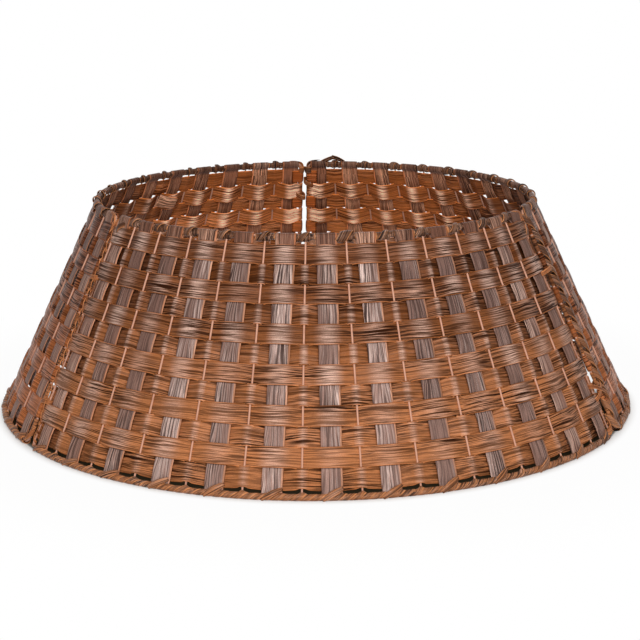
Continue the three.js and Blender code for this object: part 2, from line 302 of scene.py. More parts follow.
class Growth(Graph):
    """A geometry node tree that grows strips along the wall, with named inputs."""

    def __init__(self, name: str, sizes: dict[str, float], shaped: bool = False) -> None:
        """Makes the tree with its inputs.

        Args:
            name: The tree's name.
            sizes: Named inputs and their usual values.
            shaped: Whether the tree starts from a mesh.
        """
        super().__init__(bpy.data.node_groups.new(name, "GeometryNodeTree"))
        if shaped:
            self.interface("INPUT", "Geometry", "Geometry")
        for key, value in sizes.items():
            socket = self.interface("INPUT", "Int" if isinstance(value, int) else "Float", key)
            socket.default_value = value
        self.interface("INPUT", "Material", "Material")
        self.interface("OUTPUT", "Geometry", "Geometry")
        self.source = self.tree.nodes.new("NodeGroupInput")

    def take(self, name: str) -> Field:
        """One of the tree's named inputs."""
        return Field(self, self.source.outputs[name])

    def sheets(self, count: str, along: int, around: int) -> tuple[bpy.types.NodeSocket, Field, Field, Field]:
        """Flat grids, one for each strip, to be bent later.

        Args:
            count: The input that holds the number of strips.
            along: Faces along each.
            around: Faces round its section.

        Returns:
            The geometry, the share along, the share round and the strip's number.
        """
        size = {"Size X": 1.0, "Size Y": 1.0, "Vertices X": along + 1, "Vertices Y": around + 1}
        grid = self.node("GeometryNodeMeshGrid", size).outputs[0]
        spots = {"Count": self.take(count), "Offset": (0.0, 0.0, 1.0)}
        line = self.node("GeometryNodeMeshLine", spots, mode="OFFSET").outputs[0]
        copies = self.node("GeometryNodeInstanceOnPoints", {"Points": line, "Instance": grid}).outputs[0]
        real = self.node("GeometryNodeRealizeInstances", {0: copies})
        x, y, z = self.parts(self.node("GeometryNodeInputPosition").outputs[0])
        return real.outputs[0], x + 0.5, y + 0.5, (z + 0.5).floor()

    def store(
        self, geometry: bpy.types.NodeSocket, along: Any, across: Any, **marks: Any
    ) -> bpy.types.NodeSocket:
        """Keeps numbers on the mesh for the material to read.

        Args:
            geometry: The mesh so far.
            along: Length along the strip, for its UV map.
            across: Length across the strip, for its UV map.
            **marks: Other numbers and their names.

        Returns:
            The mesh with the numbers.
        """
        layers = [(name, value, "FLOAT", "POINT") for name, value in marks.items()]
        layers.append(("UVMap", self.vector(along, across, 0.0), "FLOAT2", "CORNER"))
        for name, value, kind, domain in layers:
            inputs = {"Geometry": geometry, "Name": name, "Value": value}
            made = self.node("GeometryNodeStoreNamedAttribute", None, data_type=kind, domain=domain)
            for key, given in inputs.items():
                self.put(made.inputs[key], given)
            geometry = made.outputs[0]
        return geometry

    def finish(self, geometry: bpy.types.NodeSocket, angle: Any, up: Any, out: Any) -> None:
        """Bends the grids onto the wall and closes their seams. Nothing lies under the floor.

        Args:
            geometry: The grids.
            angle: Angle round the ring, from the front towards +X.
            up: Height up the slant from the bottom wire.
            out: Distance out from the wall.
        """
        radius = WALL.radius(up) + out * math.cos(WALL.lean)
        height = WALL.foot_height + up * math.cos(WALL.lean) + out * math.sin(WALL.lean)
        place = self.vector(radius * angle.sin(), -1.0 * radius * angle.cos(), height.most(0.0))
        bent = self.node("GeometryNodeSetPosition", {"Geometry": geometry, "Position": place}).outputs[0]
        self.dress(self.node("GeometryNodeMergeByDistance", {"Geometry": bent, "Distance": 2e-6}).outputs[0])

    def dress(self, geometry: bpy.types.NodeSocket) -> None:
        """Smooths the mesh, gives it its material and puts it out.

        Args:
            geometry: The mesh in its last shape.
        """
        smooth = self.node("GeometryNodeSetShadeSmooth", {"Geometry": geometry}).outputs[0]
        real = self.node("GeometryNodeRealizeInstances", {0: smooth}).outputs[0]
        inputs = {"Geometry": real, "Material": self.source.outputs["Material"]}
        dressed = self.node("GeometryNodeSetMaterial", inputs)
        self.tree.links.new(dressed.outputs[0], self.tree.nodes.new("NodeGroupOutput").inputs[0])


def grow(
    name: str, growth: Growth, values: dict[str, Any], ring: list[Vector] | None = None
) -> bpy.types.Object:
    """Runs a tree once and keeps its result as a plain mesh.

    Args:
        name: The new object's name.
        growth: The tree.
        values: Values for its named inputs.
        ring: Places along the closed line that the tree starts from, if it does.

    Returns:
        An object with no modifier.
    """
    start = bpy.data.meshes.new(name)
    if ring:
        edges = [(step, (step + 1) % len(ring)) for step in range(len(ring))]
        start.from_pydata([tuple(place) for place in ring], edges, [])
    grown = bpy.data.objects.new(name, start)
    bpy.context.scene.collection.objects.link(grown)
    run = grown.modifiers.new("Growth", "NODES")
    run.node_group = growth.tree
    for item in growth.tree.interface.items_tree:
        if item.item_type == "SOCKET" and item.in_out == "INPUT" and item.name in values:
            run[item.identifier] = values[item.name]
    now = bpy.context.evaluated_depsgraph_get()
    mesh = bpy.data.meshes.new_from_object(grown.evaluated_get(now), preserve_all_data_layers=True, depsgraph=now)
    grown.modifiers.clear()
    grown.data = mesh
    bpy.data.meshes.remove(start)
    mesh.name = name
    face_outwards(mesh)
    return grown


def face_outwards(mesh: bpy.types.Mesh) -> None:
    """Turns a closed mesh right side out if its volume is negative.

    Args:
        mesh: The mesh.
    """
    mesh.calc_loop_triangles()
    corners = np.empty(len(mesh.loop_triangles) * 3, dtype=np.int32)
    mesh.loop_triangles.foreach_get("vertices", corners)
    points = np.empty(len(mesh.vertices) * 3, dtype=np.float32)
    mesh.vertices.foreach_get("co", points)
    a, b, c = np.moveaxis(points.reshape(-1, 3)[corners.reshape(-1, 3)].astype(np.float64), 1, 0)
    volume = float(np.einsum("ij,ij->i", a, np.cross(b, c)).sum()) / 6
    if volume < 0:
        mesh.flip_normals()
    LOG.info("%s: %d triangles, %.1f ml", mesh.name, len(mesh.loop_triangles), abs(volume) * 1e6)


# Finishes


def linear(red: int, green: int, blue: int) -> tuple[float, float, float, float]:
    """Turns a screen colour into the renderer's own, with full cover.

    Args:
        red: Red, from 0 to 255.
        green: Green, from 0 to 255.
        blue: Blue, from 0 to 255.

    Returns:
        The four channels.
    """

    def one(value: int) -> float:
        """One channel."""
        share = value / 255
        return share / 12.92 if share <= 0.04045 else ((share + 0.055) / 1.055) ** 2.4

    return one(red), one(green), one(blue), 1.0


def emptied(made: bpy.types.Material | bpy.types.World) -> Graph:
    """Turns on the nodes of a material or a world and clears them.

    Args:
        made: The material or the world.

    Returns:
        Its empty node tree.
    """
    made.use_nodes = True
    made.node_tree.nodes.clear()
    return Graph(made.node_tree)


@dataclass(frozen=True)
class StripFinish:
    """Colours and grain of a printed plastic strip."""

    name: str
    base: tuple[int, int, int]
    light: tuple[int, int, int]
    streak: tuple[int, int, int]
    edge: tuple[int, int, int]
    foot: tuple[int, int, int]
    streak_share: float = 1.0
    light_share: float = 0.55
    edge_share: float = 0.6
    edge_from: float = 0.89
    fan: float = 0.0
    bump: float = 0.5
    bump_height: float = 0.4 * MM
    gloss: float = 0.05

    def material(self) -> bpy.types.Material:
        """Builds the material, which reads the strip's own UV map and marks.

        Returns:
            The material.
        """
        made = bpy.data.materials.new(self.name)
        graph = emptied(made)
        # The marks carry painted light, painted sheen and painted shade besides each strip's number and edge
        inputs: dict[str, Any] = {
            mark: graph.node("ShaderNodeAttribute", attribute_name=mark.lower()).outputs["Fac"]
            for mark in ("Strip", "Edge", "Reverse", "Pale", "Brown")
        }
        inputs["Along"], inputs["Across"], _ = graph.parts(graph.node("ShaderNodeUVMap", uv_map="UVMap").outputs[0])
        inputs["Height"] = graph.parts(graph.node("ShaderNodeTexCoord").outputs["Object"])[2]
        for key in ("base", "light", "streak", "foot"):
            inputs[key.capitalize()] = linear(*getattr(self, key))
        inputs["Edge colour"] = linear(*self.edge)
        for key in ("streak_share", "light_share", "edge_share", "edge_from", "fan"):
            inputs[key.capitalize().replace("_", " ")] = getattr(self, key)
        group = graph.node("ShaderNodeGroup", inputs, node_tree=strip_print())
        bump = {"Strength": self.bump, "Distance": self.bump_height, "Height": group.outputs["Grain"]}
        shader = {
            "Base Color": group.outputs["Colour"],
            "Roughness": group.outputs["Roughness"],
            "Specular IOR Level": self.gloss,
            "Anisotropic": 0.6,
            "Anisotropic Rotation": 0.25,
            "Tangent": graph.node("ShaderNodeTangent", direction_type="UV_MAP", uv_map="UVMap").outputs[0],
            "Normal": graph.node("ShaderNodeBump", bump).outputs[0],
        }
        graph.show(graph.node("ShaderNodeBsdfPrincipled", shader))
        return made


@dataclass(frozen=True)
class Grain:
    """How often each layer of the print changes in a metre of strip, along and across it."""

    waves: tuple[float, float] = (26.0, 70.0)
    broad: tuple[float, float] = (19.0, 800.0)
    fine: tuple[float, float] = (44.0, 1500.0)
    dust: tuple[float, float] = (1100.0, 1700.0)
    tone: tuple[float, float] = (9.0, 40.0)
    wave_height: float = 2.2 * MM
    strip_shift: float = 7.31


GRAIN = Grain()
# Colours of painted light: the pale sheen patches, the warm tint of painted light on inner faces and the brown tint of
# painted shade
PAINTED_SHEEN = linear(224, 194, 180)
PAINTED_LIGHT_TINT = (1.08, 1.0, 0.84, 1.0)
PAINTED_SHADE_TINT = (1.2, 0.8, 0.54, 1.0)
FOOT_FROM, FOOT_TO = 0.215, 0.03


def strip_print() -> bpy.types.NodeTree:
    """The wood-grain print that every strip shares, as one shader group.

    Returns:
        The group, made on the first call.
    """
    name = "Strip print"
    if name in bpy.data.node_groups:
        return bpy.data.node_groups[name]
    graph = Graph(bpy.data.node_groups.new(name, "ShaderNodeTree"))
    graph.interface("INPUT", "Float", "Along", "Across", "Strip", "Edge", "Height", "Reverse", "Pale", "Brown")
    graph.interface("INPUT", "Float", "Streak share", "Light share", "Edge share", "Edge from", "Fan")
    graph.interface("INPUT", "Color", "Base", "Light", "Streak", "Edge colour", "Foot")
    graph.interface("OUTPUT", "Color", "Colour")
    graph.interface("OUTPUT", "Float", "Roughness", "Grain")
    source = graph.tree.nodes.new("NodeGroupInput")
    take = {socket.name: Field(graph, socket) for socket in source.outputs if socket.name}
    along, across, strip = take["Along"], take["Across"], take["Strip"]
    shift = strip * GRAIN.strip_shift

    def layer(scale: tuple[float, float], side: Field, place: Field) -> Field:
        """One layer of noise, stretched along the strip."""
        return graph.noise((along * scale[0], side * scale[1], place), 1.0)

    # Noise layers, which fan out between two crossings where the finish says
    block = along / (2.0 * WEAVE.row_pitch)
    fanned = across * (1.0 + take["Fan"] * (block - block.floor() - 0.5))
    bent = fanned + layer(GRAIN.waves, across, shift) * GRAIN.wave_height
    broad = layer(GRAIN.broad, bent, shift)
    fine = layer(GRAIN.fine, bent, shift + 3.0)
    dust = layer(GRAIN.dust, across, shift + 5.0)
    tone = layer(GRAIN.tone, across, shift + 9.0)
    whole = graph.chance(strip, 2.0)

    # Shares of the colours
    # Towards the foot colour low on the wall, partly painted light: the lower rows' warmer, lighter look
    low = take["Height"].rise(FOOT_FROM, FOOT_TO)
    streaks = broad.rise(0.0, 0.17).most(fine.rise(-0.05, 0.18) * 0.8) * take["Streak share"]
    streaks = (streaks * (0.85 + tone * 0.8) * (1.0 - low * 0.08)).held(0.0, 1.0)
    lights = (fine * 0.7 - broad * 0.5 + tone * 0.5 + (whole - 0.5) * 0.3).rise(-0.05, 0.45) * take["Light share"]
    # Pale patches of painted sheen, broken by the grain
    painted_sheen = take["Pale"] * (0.6 - broad * 0.6 - fine * 0.4 + dust * 0.3).held(0.0, 0.9)
    rim = take["Edge"].rise(take["Edge from"], take["Edge from"] + 0.08) * take["Edge share"]

    colour = graph.mixed(take["Base"], take["Foot"], low)
    colour = graph.mixed(colour, take["Light"], lights)
    colour = graph.mixed(colour, PAINTED_SHEEN, painted_sheen)
    colour = graph.mixed(colour, take["Streak"], streaks)
    colour = graph.mixed(colour, take["Edge colour"], rim * (1.0 - streaks * 0.4))
    # Painted light on inner faces: a warm tint and up to three times the brightness; painted shade: a browner, darker
    # tint
    for tint, share in ((PAINTED_LIGHT_TINT, take["Reverse"]), (PAINTED_SHADE_TINT, take["Brown"])):
        colour = graph.mixed(colour, graph.mixed(WHITE, tint, share), 1.0, "MULTIPLY")
    bright = (0.9 + whole * 0.22 + dust * 0.3 + tone * 0.12) * (1.0 + take["Reverse"] * 2.1)
    shade = graph.node("ShaderNodeVectorMath", {0: colour}, operation="SCALE")
    graph.put(shade.inputs["Scale"], bright)

    out = graph.tree.nodes.new("NodeGroupOutput")
    graph.put(out.inputs["Colour"], shade.outputs[0])
    graph.put(out.inputs["Roughness"], (0.31 + streaks * 0.25 + dust * 0.1).held(0.15, 0.8))
    graph.put(out.inputs["Grain"], fine * 0.35 + dust * 0.2 - streaks * 0.6)
    return graph.tree


@dataclass(frozen=True)
class WireFinish:
    """Colours and roughness of the painted wires."""

    name: str = "painted wire"
    colour: tuple[int, int, int] = (196, 146, 122)
    spots: tuple[int, int, int] = (150, 92, 66)
    spot_scale: float = 90.0
    roughness: float = 0.45

    def material(self) -> bpy.types.Material:
        """Builds the material.

        Returns:
            The material.
        """
        made = bpy.data.materials.new(self.name)
        graph = emptied(made)
        place = graph.parts(graph.node("ShaderNodeTexCoord").outputs["Object"])
        mottle = (graph.noise(tuple(part * self.spot_scale for part in place)) * 0.9).held(0.0, 1.0)
        colour = graph.mixed(linear(*self.colour), linear(*self.spots), mottle)
        graph.show(graph.node("ShaderNodeBsdfPrincipled", {"Base Color": colour, "Roughness": self.roughness}))
        return made


WEFT_FINISH = StripFinish(
    "weft print",
    base=(112, 64, 33),
    light=(190, 136, 106),
    streak=(44, 21, 8),
    edge=(208, 126, 68),
    foot=(188, 122, 78),
)
# Grey and pale: painted sheen of the front flats, turned browner where painted shade is marked
FLAT_FINISH = StripFinish(
    "flat stake print",
    base=(124, 98, 90),
    light=(222, 202, 196),
    streak=(48, 34, 31),
    edge=(208, 150, 112),
    foot=(146, 118, 109),
    streak_share=0.85,
    light_share=0.9,
    edge_from=0.78,
    fan=0.4,
    gloss=0.09,
)
LASHING_FINISH = StripFinish(
    "lashing print",
    base=(104, 64, 40),
    light=(202, 160, 136),
    streak=(36, 19, 11),
    edge=(212, 142, 90),
    foot=(168, 110, 72),
    light_share=0.8,
    edge_share=0.8,
    edge_from=0.8,
    gloss=0.14,
)
TIE_FINISH = StripFinish(
    "tie print",
    base=(172, 108, 68),
    light=(212, 158, 120),
    streak=(104, 58, 34),
    edge=(224, 150, 96),
    foot=(172, 108, 68),
    edge_share=0.8,
    edge_from=0.7,
)


# What the strips share


ON_PANEL = {"Panel centre": 0.0, "Seed": 0.0}
LASHING_THICKNESS = 0.8 * MM


def strip_section(around: Field) -> tuple[Field, Field]:
    """A strip's cut: a thin flat section with rounded edges.

    Args:
        around: Share round the section.

    Returns:
        The place across, from minus one to one, and the height of the face, from minus one to one.
    """
    plain = 1.0 - abs(around * 4.0 - 2.0)
    across = (plain * (math.pi / 2)).sin()
    return across, (0.5 - around).sign() * (1.0 - across**8.0).root()


def closed_ends(along: Field, steps: int) -> Field:
    """Nought at both ends of a strip and one from the next step on."""
    return (along.least(1.0 - along) * float(steps)).held(0.0, 1.0)


def skin(graph: Growth, face: Field, along: Field, steps: int) -> Field:
    """Distance of a strip's face from its middle, half the thickness, which closes at both ends."""
    return face * graph.take("Thickness") * 0.5 * closed_ends(along, steps)


@dataclass
class Part:
    """A sub-assembly that is grown on the panels, from one or more trees."""

    trees: dict[str, Growth] = field(default_factory=dict, repr=False, kw_only=True)

    def place(
        self,
        panel: Panel,
        name: str,
        rule: Callable[[], Growth],
        slot: str,
        material: bpy.types.Material,
        changes: dict[str, Any] | None = None,
        replaced: tuple[str, ...] = (),
        ring: list[Vector] | None = None,
    ) -> bpy.types.Object:
        """Grows one piece on a panel.

        Args:
            panel: The panel.
            name: The piece's name, without the panel's.
            rule: Builds the piece's tree, on the first call.
            slot: The piece's slot; not used.
            material: Its material.
            changes: Inputs that differ from the tree's own.
            replaced: Nodes of the panel that the piece takes the place of, without the panel's name.
            ring: Places along the line that the tree starts from, if it does.

        Returns:
            The piece.
        """
        if rule.__name__ not in self.trees:
            self.trees[rule.__name__] = rule()
        values = {"Panel centre": panel.value, "Seed": panel.seed, "Material": material, **(changes or {})}
        made = grow(f"{panel.label}_{name}", self.trees[rule.__name__], values, ring)
        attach(made, panel.body)
        if replaced:
            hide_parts(*[f"{panel.label}_{node}" for node in replaced])
        return made


# Sub-assemblies


@dataclass
class Wefts(Part):
    """The twelve rows of strip that run round each panel."""

    over_flat: float = 1.2 * MM
    under_wire: float = 1.6 * MM
    outer_belly: float = 1.3 * MM
    inner_belly: float = 5.4 * MM
    crease: float = 1.4 * MM
    hook_radius: float = 2.1 * MM
    tail: float = 13.0 * MM
    short_tail: float = 4.0 * MM
    tuck: float = 1.4 * MM
    foot_gap: float = 0.5 * MM
    sag: float = 1.3 * MM
    crown: float = 0.45 * MM
    side_belly: float = 0.4 * MM
    side_over_flat: float = 0.9 * MM
    # The side panels get painted shade and less painted sheen than the front
    side_shade_paint: float = 0.45
    side_sheen: float = 0.35
    fade_from: float = math.radians(92.0)
    fade_to: float = math.radians(150.0)
    end_width: float = 19.2 * MM
    pinch_reach: float = 9.0 * MM
    pinch_end: float = 1.0 * MM
    calm_share: float = 0.7
    calm_from: float = 17.0 * MM
    calm_to: float = 6.0 * MM
    bend_reach: float = 6.0 * MM
    tuck_from: float = -0.9 * MM
    tuck_to: float = 1.3 * MM
    row_overlap: float = 0.2 * MM
    row_drift: float = 0.3 * MM
    wave: float = 0.35 * MM
    twist: float = 0.5 * MM
    reverse_from: float = 110.0 * MM
    reverse_to: float = 190.0 * MM
    sheen_from: float = 40.0 * MM
    sheen_to: float = 150.0 * MM
    drift_seed: float = 40.0
    twist_seed: float = 20.0
    along: int = 260
    around: int = 20

    def rule(self) -> Growth:
        """Builds the tree that weaves the rows.

        Returns:
            The tree.
        """
        sizes = {
            "Rows": WEAVE.rows,
            "Row pitch": WEAVE.row_pitch,
            "Stake pitch": WEAVE.stake_pitch,
            "Thickness": WEAVE.strip_thickness,
            "Over flat": self.over_flat,
            "Under wire": self.under_wire,
            "Outer belly": self.outer_belly,
            "Inner belly": self.inner_belly,
            "Hook radius": self.hook_radius,
            "Tail": self.tail,
            "Sheen": 1.0,
            "Warmth": 0.0,
        }
        graph = Growth("Woven rows", {**ON_PANEL, **sizes})
        seed, pitch, hook = graph.take("Seed"), graph.take("Stake pitch"), graph.take("Hook radius")
        mesh, u, v, n = graph.sheets("Rows", self.along, self.around)
        across, face = strip_section(v)
        near = 1.0 - 2.0 * (n - 2.0 * (n * 0.5).floor())
        odd, even = near * 0.5 + 0.5, 0.5 - near * 0.5

        # The way along the row, round the side wires and back
        middle = WALL.slant - WEAVE.border - (n + 0.5) * graph.take("Row pitch")
        radius = WALL.radius(middle)
        wire = radius * WEAVE.half_panel
        tail = self.short_tail + (graph.take("Tail") - self.short_tail) * odd
        path = (u * 2.0 - 1.0) * (wire + hook * math.pi + tail)
        end = path.sign()
        hook = hook * (0.95 + graph.chance(n, seed, end) * 0.35)
        past = abs(path) - wire
        turn = (past / hook).held(0.0, math.pi)
        x = end * (wire + past.least(0.0) + hook * turn.sin() - (past - hook * math.pi).most(0.0))

        # Over and under the stakes
        count = (x / (radius * pitch)).held(-WEAVE.outer_stake, WEAVE.outer_stake)
        away = abs(count - count.floor() - 0.5) * pitch * radius
        half = pitch * radius * 0.5
        share = (((away * away + self.crease**2).root() - self.crease) / half).least(1.0)
        belly = graph.take("Inner belly").mix(graph.take("Outer belly"), odd)
        belly = belly * (1.0 - self.calm_share * (abs(x) - wire).rise(-self.calm_from, -self.calm_to))
        total = graph.take("Over flat") + belly + graph.take("Under wire")
        weave = near * (total * (1.0 - (1.0 - share) ** 2.0) - graph.take("Under wire"))
        bend = past.rise(-self.bend_reach, 0.0)
        out = weave * (1.0 - bend) + near * hook * bend * turn.cos()

        # Width and height
        chance = graph.noise((x * 28.0, n * 5.3, seed))
        drift = graph.noise((x * 9.0, n * 3.1, seed + self.drift_seed), 1.0)
        twist = graph.noise((x * 16.0, n * 7.7, seed + self.twist_seed), 1.0)
        inside = (-out).rise(self.tuck_from, self.tuck_to)
        width = graph.take("Row pitch") * 0.5 + self.row_overlap + inside * self.tuck
        width = width.mix(self.end_width * 0.5, past.rise(-self.pinch_reach, -self.pinch_end))
        last = (n - (WEAVE.rows - 2.0)).most(0.0)
        width = width - last * self.foot_gap * 0.5
        rise = (drift + graph.chance(n, seed) - 0.5) * self.row_drift + last * self.foot_gap * 0.5
        rise = rise - even * share * share * self.sag * (1.0 - bend)
        lift = skin(graph, face, u, self.along)
        lift = lift + (1.0 - across * across) * self.crown
        x = x + end * near * turn.sin() * lift
        out = out + turn.cos() * lift + (chance * self.wave + twist * across * self.twist) * (1.0 - bend)

        # Marks for the print: painted light on the inner face at the back, painted sheen on the bellies and wires
        angle = graph.take("Panel centre") + x / radius
        # Painted light on the inner face, strongest at the back of the ring and high on the wall
        turned = abs(angle).rise(self.fade_from, self.fade_to)
        faded = (0.1 + 0.9 * turned * middle.rise(self.reverse_from, self.reverse_to)) * abs(turn.cos()).rise(0.4, 1.0)
        reverse = (face * turn.cos() * -1.0).rise(-0.2, 0.2) * faded
        outside = face.rise(-0.2, 0.2)
        block = graph.chance((count + 0.5).floor(), n, seed)
        # Painted sheen: pale patches on the outer bellies, more on upper rows, and a painted highlight over each even
        # row's hidden wire
        front = outside * (0.75 + 0.25 * middle.rise(self.sheen_from, self.sheen_to))
        painted_belly_sheen = front * odd * share.rise(0.3, 0.9) * (0.25 + block * 0.75)
        painted_wire_highlight = front * even * share.rise(0.13, 0.0) * 0.6
        # Painted sheen too inside the even rows where they bulge in at the back
        painted_sheens = reverse * even * share.rise(0.5, 1.0) + (painted_belly_sheen + painted_wire_highlight) * graph.take("Sheen")
        marks = {"strip": n + seed * 13.0, "edge": abs(across), "reverse": reverse}
        # Painted shade: the side panels' rows turn browner and darker
        marks.update({"brown": outside * graph.take("Warmth"), "pale": painted_sheens * (1.0 - bend)})
        mesh = graph.store(mesh, path, across * width, **marks)
        graph.finish(mesh, angle, middle + rise + across * width, out)
        return graph

    def build(self, panel: Panel, material: bpy.types.Material) -> None:
        """Weaves one panel's rows.

        Args:
            panel: The panel.
            material: The strip's material.
        """
        changes = {}
        if panel is not Panel.FRONT:
            changes = {"Over flat": self.side_over_flat, "Outer belly": self.side_belly}
            changes.update({"Sheen": self.side_sheen, "Warmth": self.side_shade_paint})
        rows = tuple(f"weft_{row:02d}" for row in range(1, WEAVE.rows + 1))
        self.place(panel, "woven_rows", self.rule, "weft_warm", material, changes, rows)


@dataclass
class FlatStakes(Part):
    """The thirteen flat stakes of each panel, which roll over the top wire."""

    foot: float = 1.0 * MM
    roll_radius: float = 3.1 * MM
    tail: float = 10.2 * MM
    sway: float = 0.55 * MM
    crown: float = 0.15 * MM
    # Shares of painted shade: the front's flats, the side panels' and the front panel's outer stakes
    warmth: float = 0.15
    side_shade_paint: float = 0.75
    outer_shade_paint: float = 0.6
    bend_from: float = 9.0 * MM
    bend_to: float = 1.0 * MM
    still_from: float = 9.0 * MM
    still_to: float = 3.0 * MM
    crumple: float = 0.25 * MM
    scatter: float = 1.6 * MM
    tilt: float = 0.012
    seed_shift: float = 60.0
    along: int = 230
    around: int = 16

    def rule(self) -> Growth:
        """Builds the tree that stands the flat stakes.

        Returns:
            The tree.
        """
        sizes = {
            "Stakes": WEAVE.flats,
            "Stake pitch": WEAVE.stake_pitch,
            "Flat width": WEAVE.flat_width,
            "Thickness": WEAVE.strip_thickness,
            "Roll radius": self.roll_radius,
            "Tail": self.tail,
            "Sway": self.sway,
            "Warmth": self.warmth,
        }
        graph = Growth("Flat stakes", {**ON_PANEL, **sizes})
        seed = graph.take("Seed") + self.seed_shift
        mesh, u, v, n = graph.sheets("Stakes", self.along, self.around)
        across, face = strip_section(v)
        luck, other = graph.chance(n, seed), graph.chance(n, seed, 4.0)
        roll = graph.take("Roll radius") * (0.94 + luck * 0.12)
        tail = graph.take("Tail") * (0.94 + other * 0.1)
        path = self.foot + u * (WALL.slant - self.foot + roll * math.pi + tail)
        over = path - WALL.slant
        turn = (over / roll).held(0.0, math.pi)
        after = (over - roll * math.pi).most(0.0)
        up = path.least(WALL.slant) + roll * turn.sin() - after
        row = (WALL.slant - WEAVE.border - up) / WEAVE.row_pitch
        inner = (row * math.pi).sin() * -1.0 * graph.take("Sway")
        bend = path.rise(WALL.slant - self.bend_from, WALL.slant - self.bend_to)
        foot = path.rise(self.still_from, self.still_to)
        out = inner * (1.0 - bend) * (1.0 - foot) - roll * bend * turn.cos() - after * 0.12
        width = graph.take("Flat width") * 0.5 * (0.97 + luck * 0.05)
        lift = skin(graph, face, u, self.along)
        lift = lift + (1.0 - across * across) * self.crown
        lift = lift + graph.noise((across * 2.2 + n * 5.0, path * 60.0, seed)) * bend * self.crumple
        out = out + turn.cos() * lift
        up = up - turn.sin() * lift
        lean = (luck - 0.5) * self.scatter + (other - 0.5) * self.tilt * (up - WALL.slant * 0.5)
        number = n - WEAVE.outer_stake
        # Painted light and shade: the inner face brighter and browner, the roll over the top wire darker and browner,
        # the outer stakes browner
        within = (-face).rise(-0.2, 0.2) * (1.0 - bend)
        warm = graph.take("Warmth").most(abs(number).rise(2.5, 6.0) * self.outer_shade_paint)
        marks = {"strip": n + seed * 11.0, "edge": abs(across) * (0.82 + 0.18 * across.sign())}
        marks["reverse"] = within * 0.25 - bend * 0.1
        marks["brown"] = within.most(bend * 0.8).most(warm * (0.6 + other * 0.4))
        mesh = graph.store(mesh, path, across * width, **marks)
        side = (lean + across * width) / WALL.radius(up)
        angle = graph.take("Panel centre") + number * graph.take("Stake pitch") + side
        graph.finish(mesh, angle, up, out)
        return graph

    def build(self, panel: Panel, material: bpy.types.Material) -> None:
        """Stands one panel's flat stakes."""
        changes = {} if panel is Panel.FRONT else {"Warmth": self.side_shade_paint}
        self.place(panel, "flat_stakes", self.rule, "stakes", material, changes, ("stake_frame",))


@dataclass
class Wires(Part):
    """The thin wire stakes and the heavier wire round each panel."""

    stake_radius: float = 1.05 * MM
    rim_radius: float = 1.5 * MM
    wander: float = 0.7 * MM
    seed_shift: float = 80.0
    corner: float = 8.0 * MM
    along: int = 60
    around: int = 10
    run_steps: int = 48
    side_steps: int = 12
    corner_steps: int = 6

    def stake_rule(self) -> Growth:
        """Builds the tree that stands the thin wires.

        Returns:
            The tree.
        """
        sizes = {"Wires": WEAVE.flats - 1, "Stake pitch": WEAVE.stake_pitch, "Wire radius": self.stake_radius}
        graph = Growth("Wire stakes", {**ON_PANEL, **sizes})
        mesh, u, v, n = graph.sheets("Wires", self.along, self.around)
        turn = v * TURN
        thick = graph.take("Wire radius") * closed_ends(u, self.along)
        up = u * WALL.slant
        wander = graph.noise((up * 8.0, n * 4.7, graph.take("Seed") + self.seed_shift), 1.0) * self.wander
        side = (turn.cos() * thick + wander) / WALL.radius(up)
        number = n - WEAVE.outer_stake + 0.5
        angle = graph.take("Panel centre") + number * graph.take("Stake pitch") + side
        graph.finish(mesh, angle, up, turn.sin() * thick)
        return graph

    def edge_rule(self) -> Growth:
        """Builds the tree that makes a closed line into a round wire.

        Returns:
            The tree.
        """
        graph = Growth("Round wire", {"Radius": self.rim_radius}, shaped=True)
        curve = graph.node("GeometryNodeMeshToCurve", {0: graph.source.outputs["Geometry"]}).outputs[0]
        ring = {"Resolution": 12, "Radius": graph.take("Radius")}
        ring = graph.node("GeometryNodeCurvePrimitiveCircle", ring).outputs[0]
        inputs = {"Curve": curve, "Profile Curve": ring, "Fill Caps": True}
        graph.dress(graph.node("GeometryNodeCurveToMesh", inputs).outputs[0])
        return graph

    def outline(self, panel: Panel) -> list[Vector]:
        """Places along the wire that runs round a panel's four edges.

        Args:
            panel: The panel.

        Returns:
            A closed round of places.
        """
        places: list[Vector] = []
        high, half, corner = WALL.slant, WEAVE.half_panel, self.corner

        def add(angle: float, up: float) -> None:
            """Adds one place.

            Args:
                angle: Angle from the panel's middle.
                up: Height up the slant.
            """
            radius, turned = WALL.radius(up), panel.value + angle
            height = WALL.foot_height + up * math.cos(WALL.lean)
            places.append(Vector((radius * math.sin(turned), -radius * math.cos(turned), height)))

        def add_run(end: int, up: float) -> None:
            """Adds the bottom or the top run, up to one end.

            Args:
                end: The end, minus one or one.
                up: The run's height up the slant.
            """
            reach = end * (half - corner * 2 / WALL.radius(up))
            for step in range(self.run_steps + 1):
                add(-reach + 2 * reach * step / self.run_steps, up)

        def add_corner(end: int, up: float, start: float) -> None:
            """Adds a rounded corner.

            Args:
                end: The panel's end, minus one or one.
                up: Height of the run that the corner joins.
                start: Angle at which the corner starts.
            """
            inward = -corner if up else corner
            for step in range(self.corner_steps + 1):
                turn = start + step / self.corner_steps * math.pi / 2
                at = up + inward + corner * math.sin(turn)
                add(end * half + (corner * math.cos(turn) - end * corner) / WALL.radius(at), at)

        def add_side(end: int, steps: range) -> None:
            """Adds one side."""
            for step in steps:
                add(end * half, corner + (high - 2 * corner) * step / self.side_steps)

        add_run(1, 0.0)
        add_corner(1, 0.0, -math.pi / 2)
        add_side(1, range(1, self.side_steps))
        add_corner(1, high, 0.0)
        add_run(-1, high)
        add_corner(-1, high, math.pi / 2)
        add_side(-1, range(self.side_steps - 1, 0, -1))
        add_corner(-1, 0.0, math.pi)
        return places

    def build(self, panel: Panel, material: bpy.types.Material) -> None:
        """Makes one panel's thin wires and edge wire."""
        self.place(panel, "wire_stakes", self.stake_rule, "stakes", material)
        self.place(panel, "edge_wire", self.edge_rule, "stakes", material, ring=self.outline(panel))


